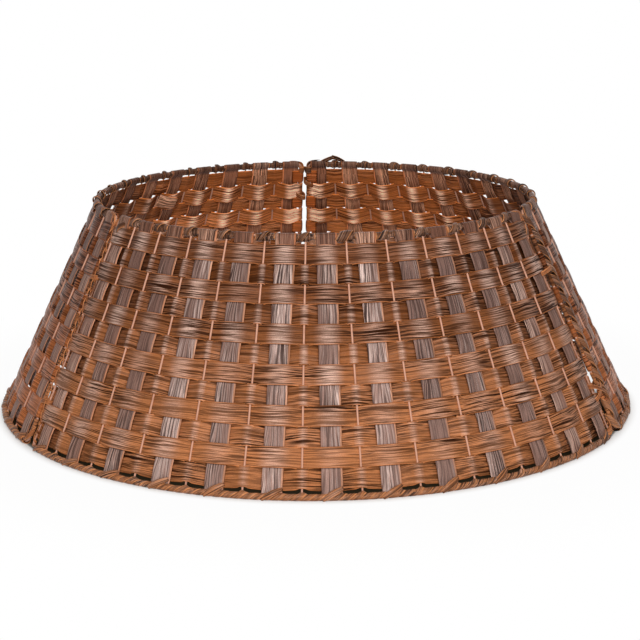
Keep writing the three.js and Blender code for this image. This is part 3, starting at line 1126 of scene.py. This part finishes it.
@dataclass
class FootLashing(Part):
    """The strip wound like rope along the bottom wire of each panel."""

    core: float = 2.7 * MM
    overlap: float = 0.6 * MM
    strand: float = 0.8 * MM
    slant: float = 2.4 * MM
    strip_width: float = 12.5 * MM
    thickness: float = 0.7 * MM
    end_gap: float = 5.0 * MM
    turns_per_pitch: float = 6.0
    wire_peak: float = 2.8 * MM
    wire_reach: float = 4.6 * MM
    flat_peak: float = 0.8 * MM
    flat_reach: float = 9.0 * MM
    flat_shift: float = 8.0 * MM
    wobble: float = 0.8 * MM
    bulge: float = 0.35 * MM
    flatten: float = 0.88
    sink: float = 0.9 * MM
    seed_shift: float = 120.0
    steps_per_turn: int = 20
    around: int = 10

    def rule(self) -> Growth:
        """Builds the tree that winds the lashing.

        Returns:
            The tree.
        """
        turns = int(2 * WEAVE.half_panel / WEAVE.stake_pitch * self.turns_per_pitch)
        sizes = {
            "Strands": 1,
            "Turns": float(turns),
            "Core radius": self.core,
            "Overlap": self.overlap,
            "Strip width": self.strip_width,
            "Thickness": self.thickness,
            "Peak at wires": self.wire_peak,
            "Peak at flats": self.flat_peak,
        }
        graph = Growth("Foot lashing", {**ON_PANEL, **sizes})
        steps = turns * self.steps_per_turn
        seed = graph.take("Seed") + self.seed_shift
        mesh, u, v, _ = graph.sheets("Strands", steps, self.around)
        across, face = strip_section(v)
        turn = u * graph.take("Turns") * TURN
        lap = (turn / TURN).floor()
        half = graph.take("Strip width") * 0.5
        reach = WEAVE.half_panel * WALL.foot_radius - self.end_gap
        wobble = graph.noise((turn * 0.12, seed, 0.0), 1.0) * self.wobble
        x = (u * 2.0 - 1.0) * (reach - half) + across * half + wobble + turn.sin() * self.slant
        count = x / WEAVE.foot_pitch
        wire = abs(count - count.floor() - 0.5) * WEAVE.foot_pitch
        moved = count - self.flat_shift / WEAVE.foot_pitch + 0.5
        flat = abs(moved - moved.floor() - 0.5) * WEAVE.foot_pitch
        peak = wire.bell(0.0, self.wire_reach) * graph.take("Peak at wires")
        peak = peak + flat.bell(0.0, self.flat_reach) * graph.take("Peak at flats")
        thick = skin(graph, face, u, steps)
        bulge = graph.noise((lap * 0.37, turn.sin() * 0.7, seed), 1.0) * self.bulge
        bulge = bulge + (1.0 - across * across) * self.strand
        radial = graph.take("Core radius") + (across * 0.5 + 0.5) * graph.take("Overlap") + thick + bulge
        up = turn.sin() * radial * self.flatten - self.sink + peak * turn.sin().most(0.0) ** 2.0
        marks = {"strip": seed * 3.0 + lap * 0.05, "edge": across * 0.5 + 0.5}
        mesh = graph.store(mesh, turn * graph.take("Core radius"), across * half, **marks)
        graph.finish(mesh, graph.take("Panel centre") + x / WALL.foot_radius, up, turn.cos() * radial)
        return graph

    def build(self, panel: Panel, material: bpy.types.Material) -> None:
        """Winds one panel's lashing."""
        self.place(panel, "foot_lashing", self.rule, "lashing", material, replaced=("bottom_lashing",))


@dataclass
class FoldedFeet(Part):
    """The foot of each flat stake, folded slantwise into the lashing."""

    span: float = 21.0 * MM
    climb: float = 11.5 * MM
    low: float = -4.0 * MM
    scatter: float = 2.0 * MM
    arch: float = 2.6 * MM
    proud: float = 2.1 * MM
    fall: float = 1.0 * MM
    seed_shift: float = 300.0
    crown: float = 0.7 * MM
    strip_width: float = 6.4 * MM
    steps: int = 26
    around: int = 12

    def rule(self) -> Growth:
        """Builds the tree that folds the feet.

        Returns:
            The tree.
        """
        sizes = {
            "Feet": WEAVE.flats,
            "Stake pitch": WEAVE.stake_pitch,
            "Span": self.span,
            "Climb": self.climb,
            "Strip width": self.strip_width,
            "Thickness": LASHING_THICKNESS,
        }
        graph = Growth("Folded feet", {**ON_PANEL, **sizes})
        seed = graph.take("Seed") + self.seed_shift
        mesh, u, v, n = graph.sheets("Feet", self.steps, self.around)
        across, face = strip_section(v)
        luck = graph.chance(n, seed)
        climb = graph.take("Climb") * (0.85 + luck * 0.3)
        slope = math.atan2(self.climb, self.span)
        width = graph.take("Strip width") * 0.5 * (0.9 + luck * 0.25) * (0.55 + 0.45 * u.bell(0.5, 0.6))
        thick = skin(graph, face, u, self.steps)
        x = (u - 0.5) * graph.take("Span") + (luck - 0.5) * self.scatter - across * width * math.sin(slope)
        up = self.low + climb * u + across * width * math.cos(slope)
        arch = (u * math.pi).sin() * self.arch
        out = self.proud + arch - u * self.fall + thick + (1.0 - across * across) * self.crown
        mesh = graph.store(mesh, u * graph.take("Span"), across * width, strip=n + seed, edge=abs(across))
        angle = graph.take("Panel centre") + (n - WEAVE.outer_stake) * graph.take("Stake pitch")
        graph.finish(mesh, angle + x / WALL.foot_radius, up, out)
        return graph

    def build(self, panel: Panel, material: bpy.types.Material) -> None:
        """Folds one panel's feet."""
        self.place(panel, "folded_feet", self.rule, "lashing", material)


@dataclass
class RimWinding(Part):
    """The strip round the top wire: a band between two flat stakes and a knot at each wire stake."""

    band_out: float = 3.1 * MM
    band_up: float = 4.4 * MM
    band_drop: float = 1.9 * MM
    ridge: float = 0.22 * MM
    ridge_pitch: float = 4.8 * MM
    side_slits: float = 0.2
    knot_out: float = 4.5 * MM
    knot_up: float = 5.0 * MM
    knot_start: float = math.radians(-190.0)
    knot_turn: float = math.radians(470.0)
    lead: float = 12.5 * MM
    strip_width: float = 8.0 * MM
    big_knot: float = 6.0
    band_overlap: float = 1.6 * MM
    slit_rise: float = 0.9 * MM
    knot_scatter: float = 2.0 * MM
    knot_shift: float = 2.0 * MM
    knot_sweep: float = 1.6 * MM
    knot_crown: float = 0.9 * MM
    knot_crumple: float = 0.5 * MM
    knot_sink: float = 1.0 * MM
    band_seed: float = 200.0
    knot_seed: float = 240.0
    band_steps: int = 26
    knot_steps: int = 48
    around: int = 14

    def angle(self, graph: Growth, number: Field, x: Field) -> Field:
        """Angle round the ring at a length beside a wire stake."""
        number = number - WEAVE.outer_stake + 0.5
        return graph.take("Panel centre") + number * graph.take("Stake pitch") + x / WALL.rim_radius

    def band_rule(self) -> Growth:
        """Builds the tree that winds the bands.

        Returns:
            The tree.
        """
        sizes = {
            "Bands": WEAVE.flats - 1,
            "Stake pitch": WEAVE.stake_pitch,
            "Flat width": WEAVE.flat_width,
            "Depth": self.band_out,
            "Height": self.band_up,
            "Drop": self.band_drop,
            "Slits": 1.0,
        }
        graph = Growth("Rim bands", {**ON_PANEL, **sizes})
        seed = graph.take("Seed") + self.band_seed
        mesh, u, v, n = graph.sheets("Bands", self.band_steps, self.around)
        turn = v * TURN
        luck = graph.chance(n, seed)
        ends = (u.least(1.0 - u) * (self.band_steps * 0.8)).held(0.0, 1.0).root()
        gap = graph.take("Stake pitch") * WALL.rim_radius - graph.take("Flat width")
        x = (u - 0.5) * (gap + self.band_overlap)
        ridge = (x * (TURN / self.ridge_pitch) + luck * 6.0).sin() * self.ridge
        narrow = u.rise(0.5, 0.8) * (0.7 + luck * 0.3) * graph.take("Slits")
        low = (-1.0 * turn.sin()).most(0.0)
        size = (0.94 + luck * 0.1) * ends
        up = turn.sin() * (graph.take("Height") + ridge) * size * (1.0 - low * narrow * 0.45)
        up = WALL.slant - graph.take("Drop") + up + narrow * self.slit_rise
        marks = {"strip": n + seed, "edge": abs(u * 2.0 - 1.0) * 0.97}
        mesh = graph.store(mesh, turn * graph.take("Height"), x, **marks)
        graph.finish(mesh, self.angle(graph, n, x), up, turn.cos() * (graph.take("Depth") + ridge) * size)
        return graph

    def knot_rule(self) -> Growth:
        """Builds the tree that twists the knots.

        Returns:
            The tree.
        """
        sizes = {
            "Knots": WEAVE.flats - 1,
            "Big knot": -1.0,
            "Stake pitch": WEAVE.stake_pitch,
            "Depth": self.knot_out,
            "Height": self.knot_up,
            "Lead": self.lead,
            "Strip width": self.strip_width,
            "Thickness": LASHING_THICKNESS,
        }
        graph = Growth("Rim knots", {**ON_PANEL, **sizes})
        seed = graph.take("Seed") + self.knot_seed
        mesh, u, v, n = graph.sheets("Knots", self.knot_steps, self.around)
        across, face = strip_section(v)
        luck, other = graph.chance(n, seed), graph.chance(n, seed, 2.0)
        big = (1.0 - abs(n - graph.take("Big knot"))).most(0.0)
        size = 0.9 + luck * 0.16 + big * 0.22
        turn = self.knot_start + u * self.knot_turn
        width = graph.take("Strip width") * 0.5 * size * (0.5 + 0.5 * u.bell(0.5, 0.62)) * (1.0 + big * 0.5)
        x = (u - 0.5) * graph.take("Lead") * size + across * width * 0.9
        x = x + (other - 0.5) * self.knot_scatter - self.knot_shift + turn.sin() * self.knot_sweep
        lift = skin(graph, face, u, self.knot_steps)
        lift = lift + (1.0 - across * across) * self.knot_crown * u.bell(0.5, 0.5)
        lift = lift + (graph.noise((u * 3.0, n * 3.7, seed), 1.0) + across) * self.knot_crumple
        up = WALL.slant - self.knot_sink + turn.sin() * (graph.take("Height") * size + lift) * 0.92
        marks = {"strip": n + seed, "edge": abs(across)}
        mesh = graph.store(mesh, turn * graph.take("Height"), across * width, **marks)
        graph.finish(mesh, self.angle(graph, n, x), up, turn.cos() * (graph.take("Depth") * size + lift))
        return graph

    def build(self, panel: Panel, material: bpy.types.Material) -> None:
        """Winds one panel's top wire.

        Args:
            panel: The panel.
            material: The strip's material.
        """
        plain = panel is Panel.FRONT
        slits = {} if plain else {"Slits": self.side_slits}
        knots = {"Big knot": self.big_knot} if plain else {}
        self.place(panel, "rim_bands", self.band_rule, "lashing", material, slits)
        self.place(panel, "rim_knots", self.knot_rule, "lashing", material, knots, ("top_lashing",))


@dataclass
class SideWinding(Part):
    """The strip that is wound loosely up a panel's side wire."""

    strip_width: float = 11.0 * MM
    turn_length: float = 20.5 * MM
    slant: float = 4.0 * MM
    lead_in: float = 10.0 * MM
    low_corner: float = 8.0 * MM
    high_corner: float = 5.0 * MM
    fade: float = 30.0 * MM
    low_end: float = 26.0 * MM
    high_length: float = 12.0 * MM
    top_run: float = 3.0 * MM
    plain_radius: float = 2.9 * MM
    overlap: float = 0.4 * MM
    crown: float = 0.4 * MM
    wobble: float = 0.4 * MM
    corner_before: float = 4.0 * MM
    corner_reach: float = 16.0 * MM
    corner_bulge: float = 0.7 * MM
    seed_shift: float = 400.0
    steps_per_turn: int = 26
    turns_of_mesh: int = 20
    around: int = 10

    @property
    def side_start(self) -> float:
        """Length along the path at which the straight side begins."""
        return self.lead_in + self.low_corner * math.pi / 2

    @property
    def side_end(self) -> float:
        """Length along the path at which the straight side ends."""
        return self.side_start + WALL.slant - self.low_corner - self.high_corner

    @property
    def whole(self) -> float:
        """Length of the whole path, from the bottom run round both corners."""
        return self.side_end + self.high_corner * math.pi / 2 + self.top_run

    def rule(self) -> Growth:
        """Builds the tree that winds the strip.

        Returns:
            The tree.
        """
        sizes = {
            "Strands": 1,
            "Side": 1.0,
            "Start": 0.0,
            "End": self.whole,
            "Turn length": self.turn_length,
            "Radius": self.plain_radius,
            "Proud": 0.0,
            "Shift": 0.0,
            "Strip width": self.strip_width,
            "Thickness": LASHING_THICKNESS,
        }
        graph = Growth("Side winding", {**ON_PANEL, **sizes})
        steps = self.turns_of_mesh * self.steps_per_turn
        seed, side = graph.take("Seed") + self.seed_shift, graph.take("Side")
        mesh, u, v, _ = graph.sheets("Strands", steps, self.around)
        across, face = strip_section(v)

        # The side wire: the bottom run, a corner, the side, a corner and a little of the top run
        path = graph.take("Start") + u * (graph.take("End") - graph.take("Start"))
        low = ((path - self.lead_in) / self.low_corner).held(0.0, math.pi / 2)
        high = ((path - self.side_end) / self.high_corner).held(0.0, math.pi / 2)
        back = (path - self.side_end - self.high_corner * math.pi / 2).most(0.0)
        heading = low + high
        x = path.least(self.lead_in) - self.lead_in - self.low_corner + low.sin() * self.low_corner
        x = x - (1.0 - high.cos()) * self.high_corner - back
        up = (1.0 - low.cos()) * self.low_corner + (path - self.side_start).held(0.0, self.side_end - self.side_start)
        up = up + high.sin() * self.high_corner

        # The strip round it
        turn = path / graph.take("Turn length") * TURN
        lap = (turn / TURN).floor()
        wobble = graph.noise((turn * 0.11, seed, 0.0))
        width = graph.take("Strip width") * 0.5 * (1.0 + wobble * 0.5)
        thick = skin(graph, face, u, steps)
        radial = graph.take("Radius") + thick + (across * 0.5 + 0.5) * self.overlap + wobble * self.wobble
        corner = path.bell(self.side_start - self.corner_before, self.corner_reach)
        radial = radial + (1.0 - across * across) * self.crown + corner * self.corner_bulge
        slant = self.slant * (0.4 + 0.6 * (path / self.side_start - 0.6).held(0.0, 1.0))
        ahead = across * width + turn.sin() * slant
        x = x + heading.sin() * turn.sin() * radial + heading.cos() * ahead
        up = up - heading.cos() * turn.sin() * radial + heading.sin() * ahead
        middle = (path - self.fade).rise(0.0, self.fade) * (self.side_end - path).rise(0.0, self.fade)
        out = turn.cos() * radial + graph.take("Proud") * middle
        x = x - graph.take("Shift") * middle
        marks = {"strip": seed + lap * 0.13, "edge": abs(across)}
        mesh = graph.store(mesh, turn * graph.take("Radius"), across * width, **marks)
        angle = graph.take("Panel centre") + side * (WEAVE.half_panel + x / WALL.radius(up))
        graph.finish(mesh, angle, up, out)
        return graph

    def plan(self, panel: Panel) -> dict[str, dict[str, float]]:
        """Lists the windings of one panel.

        Args:
            panel: The panel.

        Returns:
            The changed sizes of each, by name.
        """

        def corners(side: str, sign: float, high_radius: float) -> dict[str, dict[str, float]]:
            """The windings of the low and the high corner of one side."""
            high = {"Side": sign, "Start": self.side_end - self.high_length, "Radius": high_radius}
            return {f"{side}_low_corner": {"Side": sign, "End": self.low_end}, f"{side}_high_corner": high}

        if panel is Panel.LEFT:
            return {**corners("near", -1.0, 3.2 * MM), **corners("far", 1.0, self.plain_radius)}
        if panel is Panel.FRONT:
            chain = {"Radius": 1.2 * MM, "Proud": 2.8 * MM, "Turn length": 12.0 * MM, "Strip width": 3.6 * MM}
            return {"near_side": {"Side": -1.0, **chain}, **corners("far", 1.0, self.plain_radius)}
        roll = {"Radius": 4.2 * MM, "Proud": 2.2 * MM, "Shift": 4.5 * MM}
        roll.update({"Turn length": 19.0 * MM, "Strip width": 13.0 * MM})
        return {"near_side": {"Side": -1.0, **roll}, **corners("far", 1.0, 4.3 * MM)}

    def build(self, panel: Panel, material: bpy.types.Material) -> None:
        """Winds the side wires of a panel.

        Args:
            panel: The panel.
            material: The strip's material.
        """
        for name, changes in self.plan(panel).items():
            changes["Seed"] = panel.seed + changes["Side"] * 0.7
            self.place(panel, f"{name}_winding", self.rule, "lashing", material, changes)


@dataclass(frozen=True)
class Band:
    """One short strip round one or both side wires of a seam."""

    node: str
    body: str
    angle: float
    rows_below: float
    span: float
    depth: float
    slope: float
    width: float
    crossed: bool = False


@dataclass
class SeamBands:
    """The four ties of the front seams and the four loops of the back seam."""

    upper_tie: float = 3.0
    lower_tie: float = 10.0
    tie_slope: float = 0.12
    crossed_slope: float = 0.55
    tie_width: float = 5.0 * MM
    left_reach: float = 4.1 * MM
    left_depth: float = 4.0 * MM
    right_reach: float = 6.0 * MM
    right_depth: float = 6.6 * MM
    loop_shift: float = 0.4 * MM
    loop_span: float = 6.4 * MM
    loop_depth: float = 6.0 * MM
    loop_slope: float = 0.5
    loop_width: float = 7.0 * MM
    left_loops: tuple[float, float] = (2.0, 9.0)
    right_loops: tuple[float, float] = (1.0, 10.0)
    layer_gap: float = 0.5 * MM
    crumple: float = 0.3 * MM
    first_seed: float = 500.0
    seed_step: float = 3.0
    steps: int = 72
    around: int = 12

    def ties(self) -> list[Band]:
        """Lists the ties of the two front seams.

        Returns:
            The four ties.
        """
        seams = {
            "left": (Panel.LEFT.value + WEAVE.half_panel, -WEAVE.half_panel, self.left_reach, self.left_depth),
            "right": (WEAVE.half_panel, Panel.RIGHT.value - WEAVE.half_panel, self.right_reach, self.right_depth),
        }
        found: list[Band] = []
        for side, (low, high, reach, depth) in seams.items():
            for place, rows in (("upper", self.upper_tie), ("lower", self.lower_tie)):
                crossed = side == "right" and place == "lower"
                tie = Band(
                    node=f"{side}_seam_tie_{place}",
                    body="front_panel",
                    angle=(low + high) / 2,
                    rows_below=rows,
                    span=abs(high - low) * 0.5 * WALL.radius(WEAVE.below_rim(rows)) + reach,
                    depth=depth,
                    slope=self.crossed_slope if crossed else self.tie_slope,
                    width=self.tie_width,
                    crossed=crossed,
                )
                found.append(tie)
        return found

    def loops(self) -> list[Band]:
        """Lists the loops of the back seam.

        Returns:
            The four loops.
        """
        found: list[Band] = []
        for panel, end, places in ((Panel.LEFT, -1, self.left_loops), (Panel.RIGHT, 1, self.right_loops)):
            for place, rows in zip(("upper", "lower"), places):
                shift = self.loop_shift / WALL.radius(WEAVE.below_rim(rows))
                loop = Band(
                    node=f"{panel.label}_closure_loop_{place}",
                    body=panel.body,
                    angle=panel.value + end * (WEAVE.half_panel - shift),
                    rows_below=rows,
                    span=self.loop_span,
                    depth=self.loop_depth,
                    slope=self.loop_slope,
                    width=self.loop_width,
                )
                found.append(loop)
        return found

    def rule(self) -> Growth:
        """Builds the tree that bends a band round its wires.

        Returns:
            The tree.
        """
        sizes = {
            "Bands": 1,
            "Angle": 0.0,
            "Up": 0.1,
            "Seed": 0.0,
            "Span": 8.0 * MM,
            "Depth": 4.0 * MM,
            "Slope": 0.1,
            "Strip width": 5.0 * MM,
            "Thickness": LASHING_THICKNESS,
        }
        graph = Growth("Seam bands", sizes)
        mesh, u, v, n = graph.sheets("Bands", self.steps, self.around)
        across, face = strip_section(v)
        turn = u * TURN - math.pi / 2
        seed, span = graph.take("Seed"), graph.take("Span")
        thick = skin(graph, face, u, self.steps) + n * self.layer_gap
        flat = turn.sin().sign() * abs(turn.sin()) ** 0.7
        x = turn.cos() * (span + thick)
        out = flat * (graph.take("Depth") + thick) + graph.noise((u * 5.0, n, seed), 1.0) * self.crumple
        wide = across * graph.take("Strip width") * 0.5
        up = graph.take("Up") + x * graph.take("Slope") * (1.0 - 2.0 * n) + wide
        mesh = graph.store(mesh, turn * span, wide, strip=seed + n, edge=abs(across))
        graph.finish(mesh, graph.take("Angle") + x / WALL.radius(graph.take("Up")), up, out)
        return graph

    def build(self, material: bpy.types.Material) -> None:
        """Bends all ties and loops.

        Args:
            material: The strip's material.
        """
        tree = self.rule()
        for number, band in enumerate(self.ties() + self.loops()):
            values = {
                "Bands": 2 if band.crossed else 1,
                "Angle": band.angle,
                "Up": WEAVE.below_rim(band.rows_below),
                "Seed": self.first_seed + number * self.seed_step,
                "Span": band.span,
                "Depth": band.depth,
                "Slope": band.slope,
                "Strip width": band.width,
                "Material": material,
            }
            strip = grow(f"{band.node}_strip", tree, values)
            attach(strip, band.body)
            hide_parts(band.node)


@dataclass(frozen=True)
class LooseEnd:
    """One strip end that stands away from the weave, in degrees and millimetres."""

    name: str
    body: str
    angle: float
    up: float
    out: float
    length: float
    heading: float
    curl: float
    width: float
    lit: float = 0.0


@dataclass
class LooseEnds:
    """The few strip ends that stand away from the weave. The lit one is the end of a row, with painted light and
    painted sheen.
    """

    taper: float = 0.25
    first_seed: float = 700.0
    seed_step: float = 2.0
    steps: int = 30
    around: int = 14
    ends: tuple[LooseEnd, ...] = (
        LooseEnd("rim_stray_rise", "right_panel", 177.4, 264.0, 1.5, 30.0, 147.0, 3.0, 7.5),
        LooseEnd("rim_stray_fall", "right_panel", 172.6, 280.0, 2.0, 19.0, 205.0, 2.0, 7.0),
        LooseEnd("inner_tail", "left_panel", -132.0, 236.0, -7.5, 37.0, 196.0, -1.5, 20.5, lit=0.8),
        LooseEnd("right_corner_end", "front_panel", 58.2, 242.0, 2.5, 17.0, 70.0, 1.5, 5.5),
        LooseEnd("left_corner_end", "front_panel", -58.0, 255.0, 2.0, 19.0, 35.0, 3.5, 9.0),
    )

    def rule(self) -> Growth:
        """Builds the tree that lays one end along the wall.

        Returns:
            The tree.
        """
        sizes = {
            "Ends": 1,
            "Angle": 0.0,
            "Up": 0.2,
            "Out": 2.0 * MM,
            "Length": 20.0 * MM,
            "Heading": 0.0,
            "Curl": 2.0 * MM,
            "Strip width": 8.0 * MM,
            "Seed": 0.0,
            "Lit": 0.0,
            "Thickness": LASHING_THICKNESS,
        }
        graph = Growth("Loose ends", sizes)
        mesh, u, v, _ = graph.sheets("Ends", self.steps, self.around)
        across, face = strip_section(v)
        heading, lit, curl = graph.take("Heading"), graph.take("Lit"), graph.take("Curl")
        width = across * graph.take("Strip width") * 0.5 * (1.0 - self.taper * u)
        thick = skin(graph, face, u, self.steps)
        path = u * graph.take("Length")
        x = heading.cos() * path - heading.sin() * width
        up = graph.take("Up") + heading.sin() * path + heading.cos() * width
        out = graph.take("Out") + (u * math.pi).sin() * curl - across * across * curl * 0.35 + thick
        # The lit end gets painted light and painted sheen
        marks = {"strip": graph.take("Seed"), "edge": abs(across), "reverse": lit, "pale": lit * 0.5}
        mesh = graph.store(mesh, path, width, **marks)
        graph.finish(mesh, graph.take("Angle") + x / WALL.radius(graph.take("Up")), up, out)
        return graph

    def build(self, thin: bpy.types.Material, broad: bpy.types.Material) -> None:
        """Lays all loose ends.

        Args:
            thin: The thin strips' material.
            broad: The material of the end of a row.
        """
        tree = self.rule()
        for number, end in enumerate(self.ends):
            values = {
                "Angle": math.radians(end.angle),
                "Up": end.up * MM,
                "Out": end.out * MM,
                "Length": end.length * MM,
                "Heading": math.radians(end.heading),
                "Curl": end.curl * MM,
                "Strip width": end.width * MM,
                "Seed": self.first_seed + number * self.seed_step,
                "Lit": end.lit,
                "Material": broad if end.lit else thin,
            }
            strip = grow(end.name, tree, values)
            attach(strip, end.body)


# Studio


@dataclass(frozen=True)
class Lamp:
    """One soft square lamp: its place, its side, its power in watts and how much blue its light lacks."""

    name: str
    place: tuple[float, float, float]
    side: float
    power: float
    warm: float = 0.0


@dataclass(frozen=True)
class Studio:
    """Pale floor with painted shade behind the front foot, white surround, soft lamps and the camera."""

    distance: float = 1.8617
    height: float = 0.5588
    offset: float = 0.00526
    tilt: float = 0.24553
    roll: float = -0.00565
    orbit: float = math.radians(-2.563)
    focal_pixels: float = 1568.8
    image_pixels: float = 640.0
    sensor: float = 36.0
    world_light: tuple[float, float, float, float] = (0.075, 0.075, 0.076, 1.0)
    floor_tone: tuple[float, float, float, float] = (0.86, 0.86, 0.86, 1.0)
    floor_shade: tuple[int, int, int] = (84, 78, 60)
    floor_side: float = 12.0
    floor_drop: float = 0.2 * MM
    aim: tuple[float, float, float] = (0.0, 0.0, 0.1)
    lamps: tuple[Lamp, ...] = (
        Lamp("sheen softbox", (-0.1, -1.75, 1.6), 0.35, 24.0, 0.15),
        Lamp("front fill", (0.15, -2.0, 0.6), 1.2, 18.0),
        Lamp("left fill", (-2.8, -0.9, 1.4), 1.4, 1.0),
        Lamp("back top", (0.2, 1.6, 2.6), 1.6, 18.0),
    )

    def camera(self) -> None:
        """Places the camera where the photograph was taken from."""
        data = bpy.data.cameras.new("camera")
        data.sensor_width = self.sensor
        data.lens = self.focal_pixels / self.image_pixels * data.sensor_width
        camera = bpy.data.objects.new("camera", data)
        turned = Matrix.Rotation(self.orbit, 4, "Z")
        aim = Euler((math.pi / 2 - self.tilt, 0.0, 0.0)).to_matrix().to_4x4() @ Matrix.Rotation(self.roll, 4, "Z")
        camera.matrix_world = turned @ Matrix.Translation((self.offset, -self.distance, self.height)) @ aim
        bpy.context.scene.collection.objects.link(camera)
        bpy.context.scene.camera = camera

    def light(self, lamp: Lamp) -> None:
        """Adds one soft lamp that looks at the collar.

        Args:
            lamp: The lamp.
        """
        data = bpy.data.lights.new(lamp.name, "AREA")
        data.shape = "SQUARE"
        data.size = lamp.side
        data.energy = lamp.power
        data.color = (1.0, 1.0 - lamp.warm * 0.55, 1.0 - lamp.warm)
        made = bpy.data.objects.new(lamp.name, data)
        made.location = lamp.place
        made.rotation_euler = (Vector(self.aim) - Vector(lamp.place)).to_track_quat("-Z", "Y").to_euler()
        bpy.context.scene.collection.objects.link(made)

    def surround(self) -> None:
        """Makes the white surround."""
        world = bpy.data.worlds.new("surround")
        bpy.context.scene.world = world
        graph = emptied(world)
        colour = graph.mixed(self.world_light, WHITE, self.seen(graph))
        graph.show(graph.node("ShaderNodeBackground", {"Color": colour, "Strength": 1.0}), "World")

    def floor(self) -> None:
        """Lays the pale floor, which keeps the collar's shadow and has painted shade in a dark band behind the front
        foot.
        """
        material = bpy.data.materials.new("pale floor")
        graph = emptied(material)
        x, y, _ = graph.parts(graph.node("ShaderNodeTexCoord").outputs["Object"])
        away = (x * x + y * y).root()
        front = (y / away.most(0.01)).rise(0.05, -0.12)
        # Painted shade: the floor inside the ring just behind the front foot is dark
        under = away.rise(0.2, 0.33) * away.rise(0.379, 0.376) * front
        tone = graph.mixed(self.floor_tone, linear(*self.floor_shade), under)
        plain = graph.node("ShaderNodeBsdfDiffuse", {"Color": tone}).outputs[0]
        glow = graph.node("ShaderNodeEmission", {"Color": WHITE, "Strength": 1.0}).outputs[0]
        pale = away.rise(0.335, 0.23).most(1.0 - front) * away.rise(0.392, 0.372) * 0.88
        share = away.rise(0.372, 0.392) * 0.96 + away.rise(0.4, 0.6) * 0.04 + pale
        graph.show(graph.node("ShaderNodeMixShader", {0: self.seen(graph) * share, 1: plain, 2: glow}))
        mesh = bpy.data.meshes.new("floor")
        side = self.floor_side
        corners = [(-side, -side, 0), (side, -side, 0), (side, side, 0), (-side, side, 0)]
        mesh.from_pydata(corners, [], [(0, 1, 2, 3)])
        mesh.materials.append(material)
        floor = bpy.data.objects.new("floor", mesh)
        floor.location.z = -self.floor_drop
        bpy.context.scene.collection.objects.link(floor)

    @staticmethod
    def seen(graph: Graph) -> Field:
        """Tells the rays that show a surface from those that light it.

        Args:
            graph: The tree that asks.

        Returns:
            One where the ray comes from the camera, a glossy surface or glass.
        """
        path = graph.node("ShaderNodeLightPath")
        rays = [Field(graph, path.outputs[f"Is {kind} Ray"]) for kind in ("Camera", "Glossy", "Transmission")]
        return (rays[0] + rays[1] + rays[2]).least(1.0)

    def build(self) -> None:
        """Sets up the whole studio."""
        bpy.context.scene.view_settings.view_transform = "Standard"
        self.surround()
        self.floor()
        for lamp in self.lamps:
            self.light(lamp)
        self.camera()


def main() -> None:
    """Builds the collar panel by panel and then the studio."""
    logging.basicConfig(level=logging.INFO, format="%(name)s: %(message)s")
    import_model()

    weft_print = WEFT_FINISH.material()
    flat_print = FLAT_FINISH.material()
    lashing_print = LASHING_FINISH.material()
    tie_print = TIE_FINISH.material()
    wire_paint = WireFinish().material()

    wefts, stakes, wires = Wefts(), FlatStakes(), Wires()
    foot, feet, rim, sides = FootLashing(), FoldedFeet(), RimWinding(), SideWinding()
    for panel in Panel:
        wefts.build(panel, weft_print)
        stakes.build(panel, flat_print)
        wires.build(panel, wire_paint)
        foot.build(panel, lashing_print)
        feet.build(panel, lashing_print)
        rim.build(panel, lashing_print)
        sides.build(panel, lashing_print if panel is Panel.RIGHT else tie_print)
        LOG.info("%s panel built", panel.label)
    SeamBands().build(tie_print)
    LooseEnds().build(lashing_print, weft_print)
    LOG.info("ties and loops built")

    Studio().build()


if __name__ == "__main__":
    main()
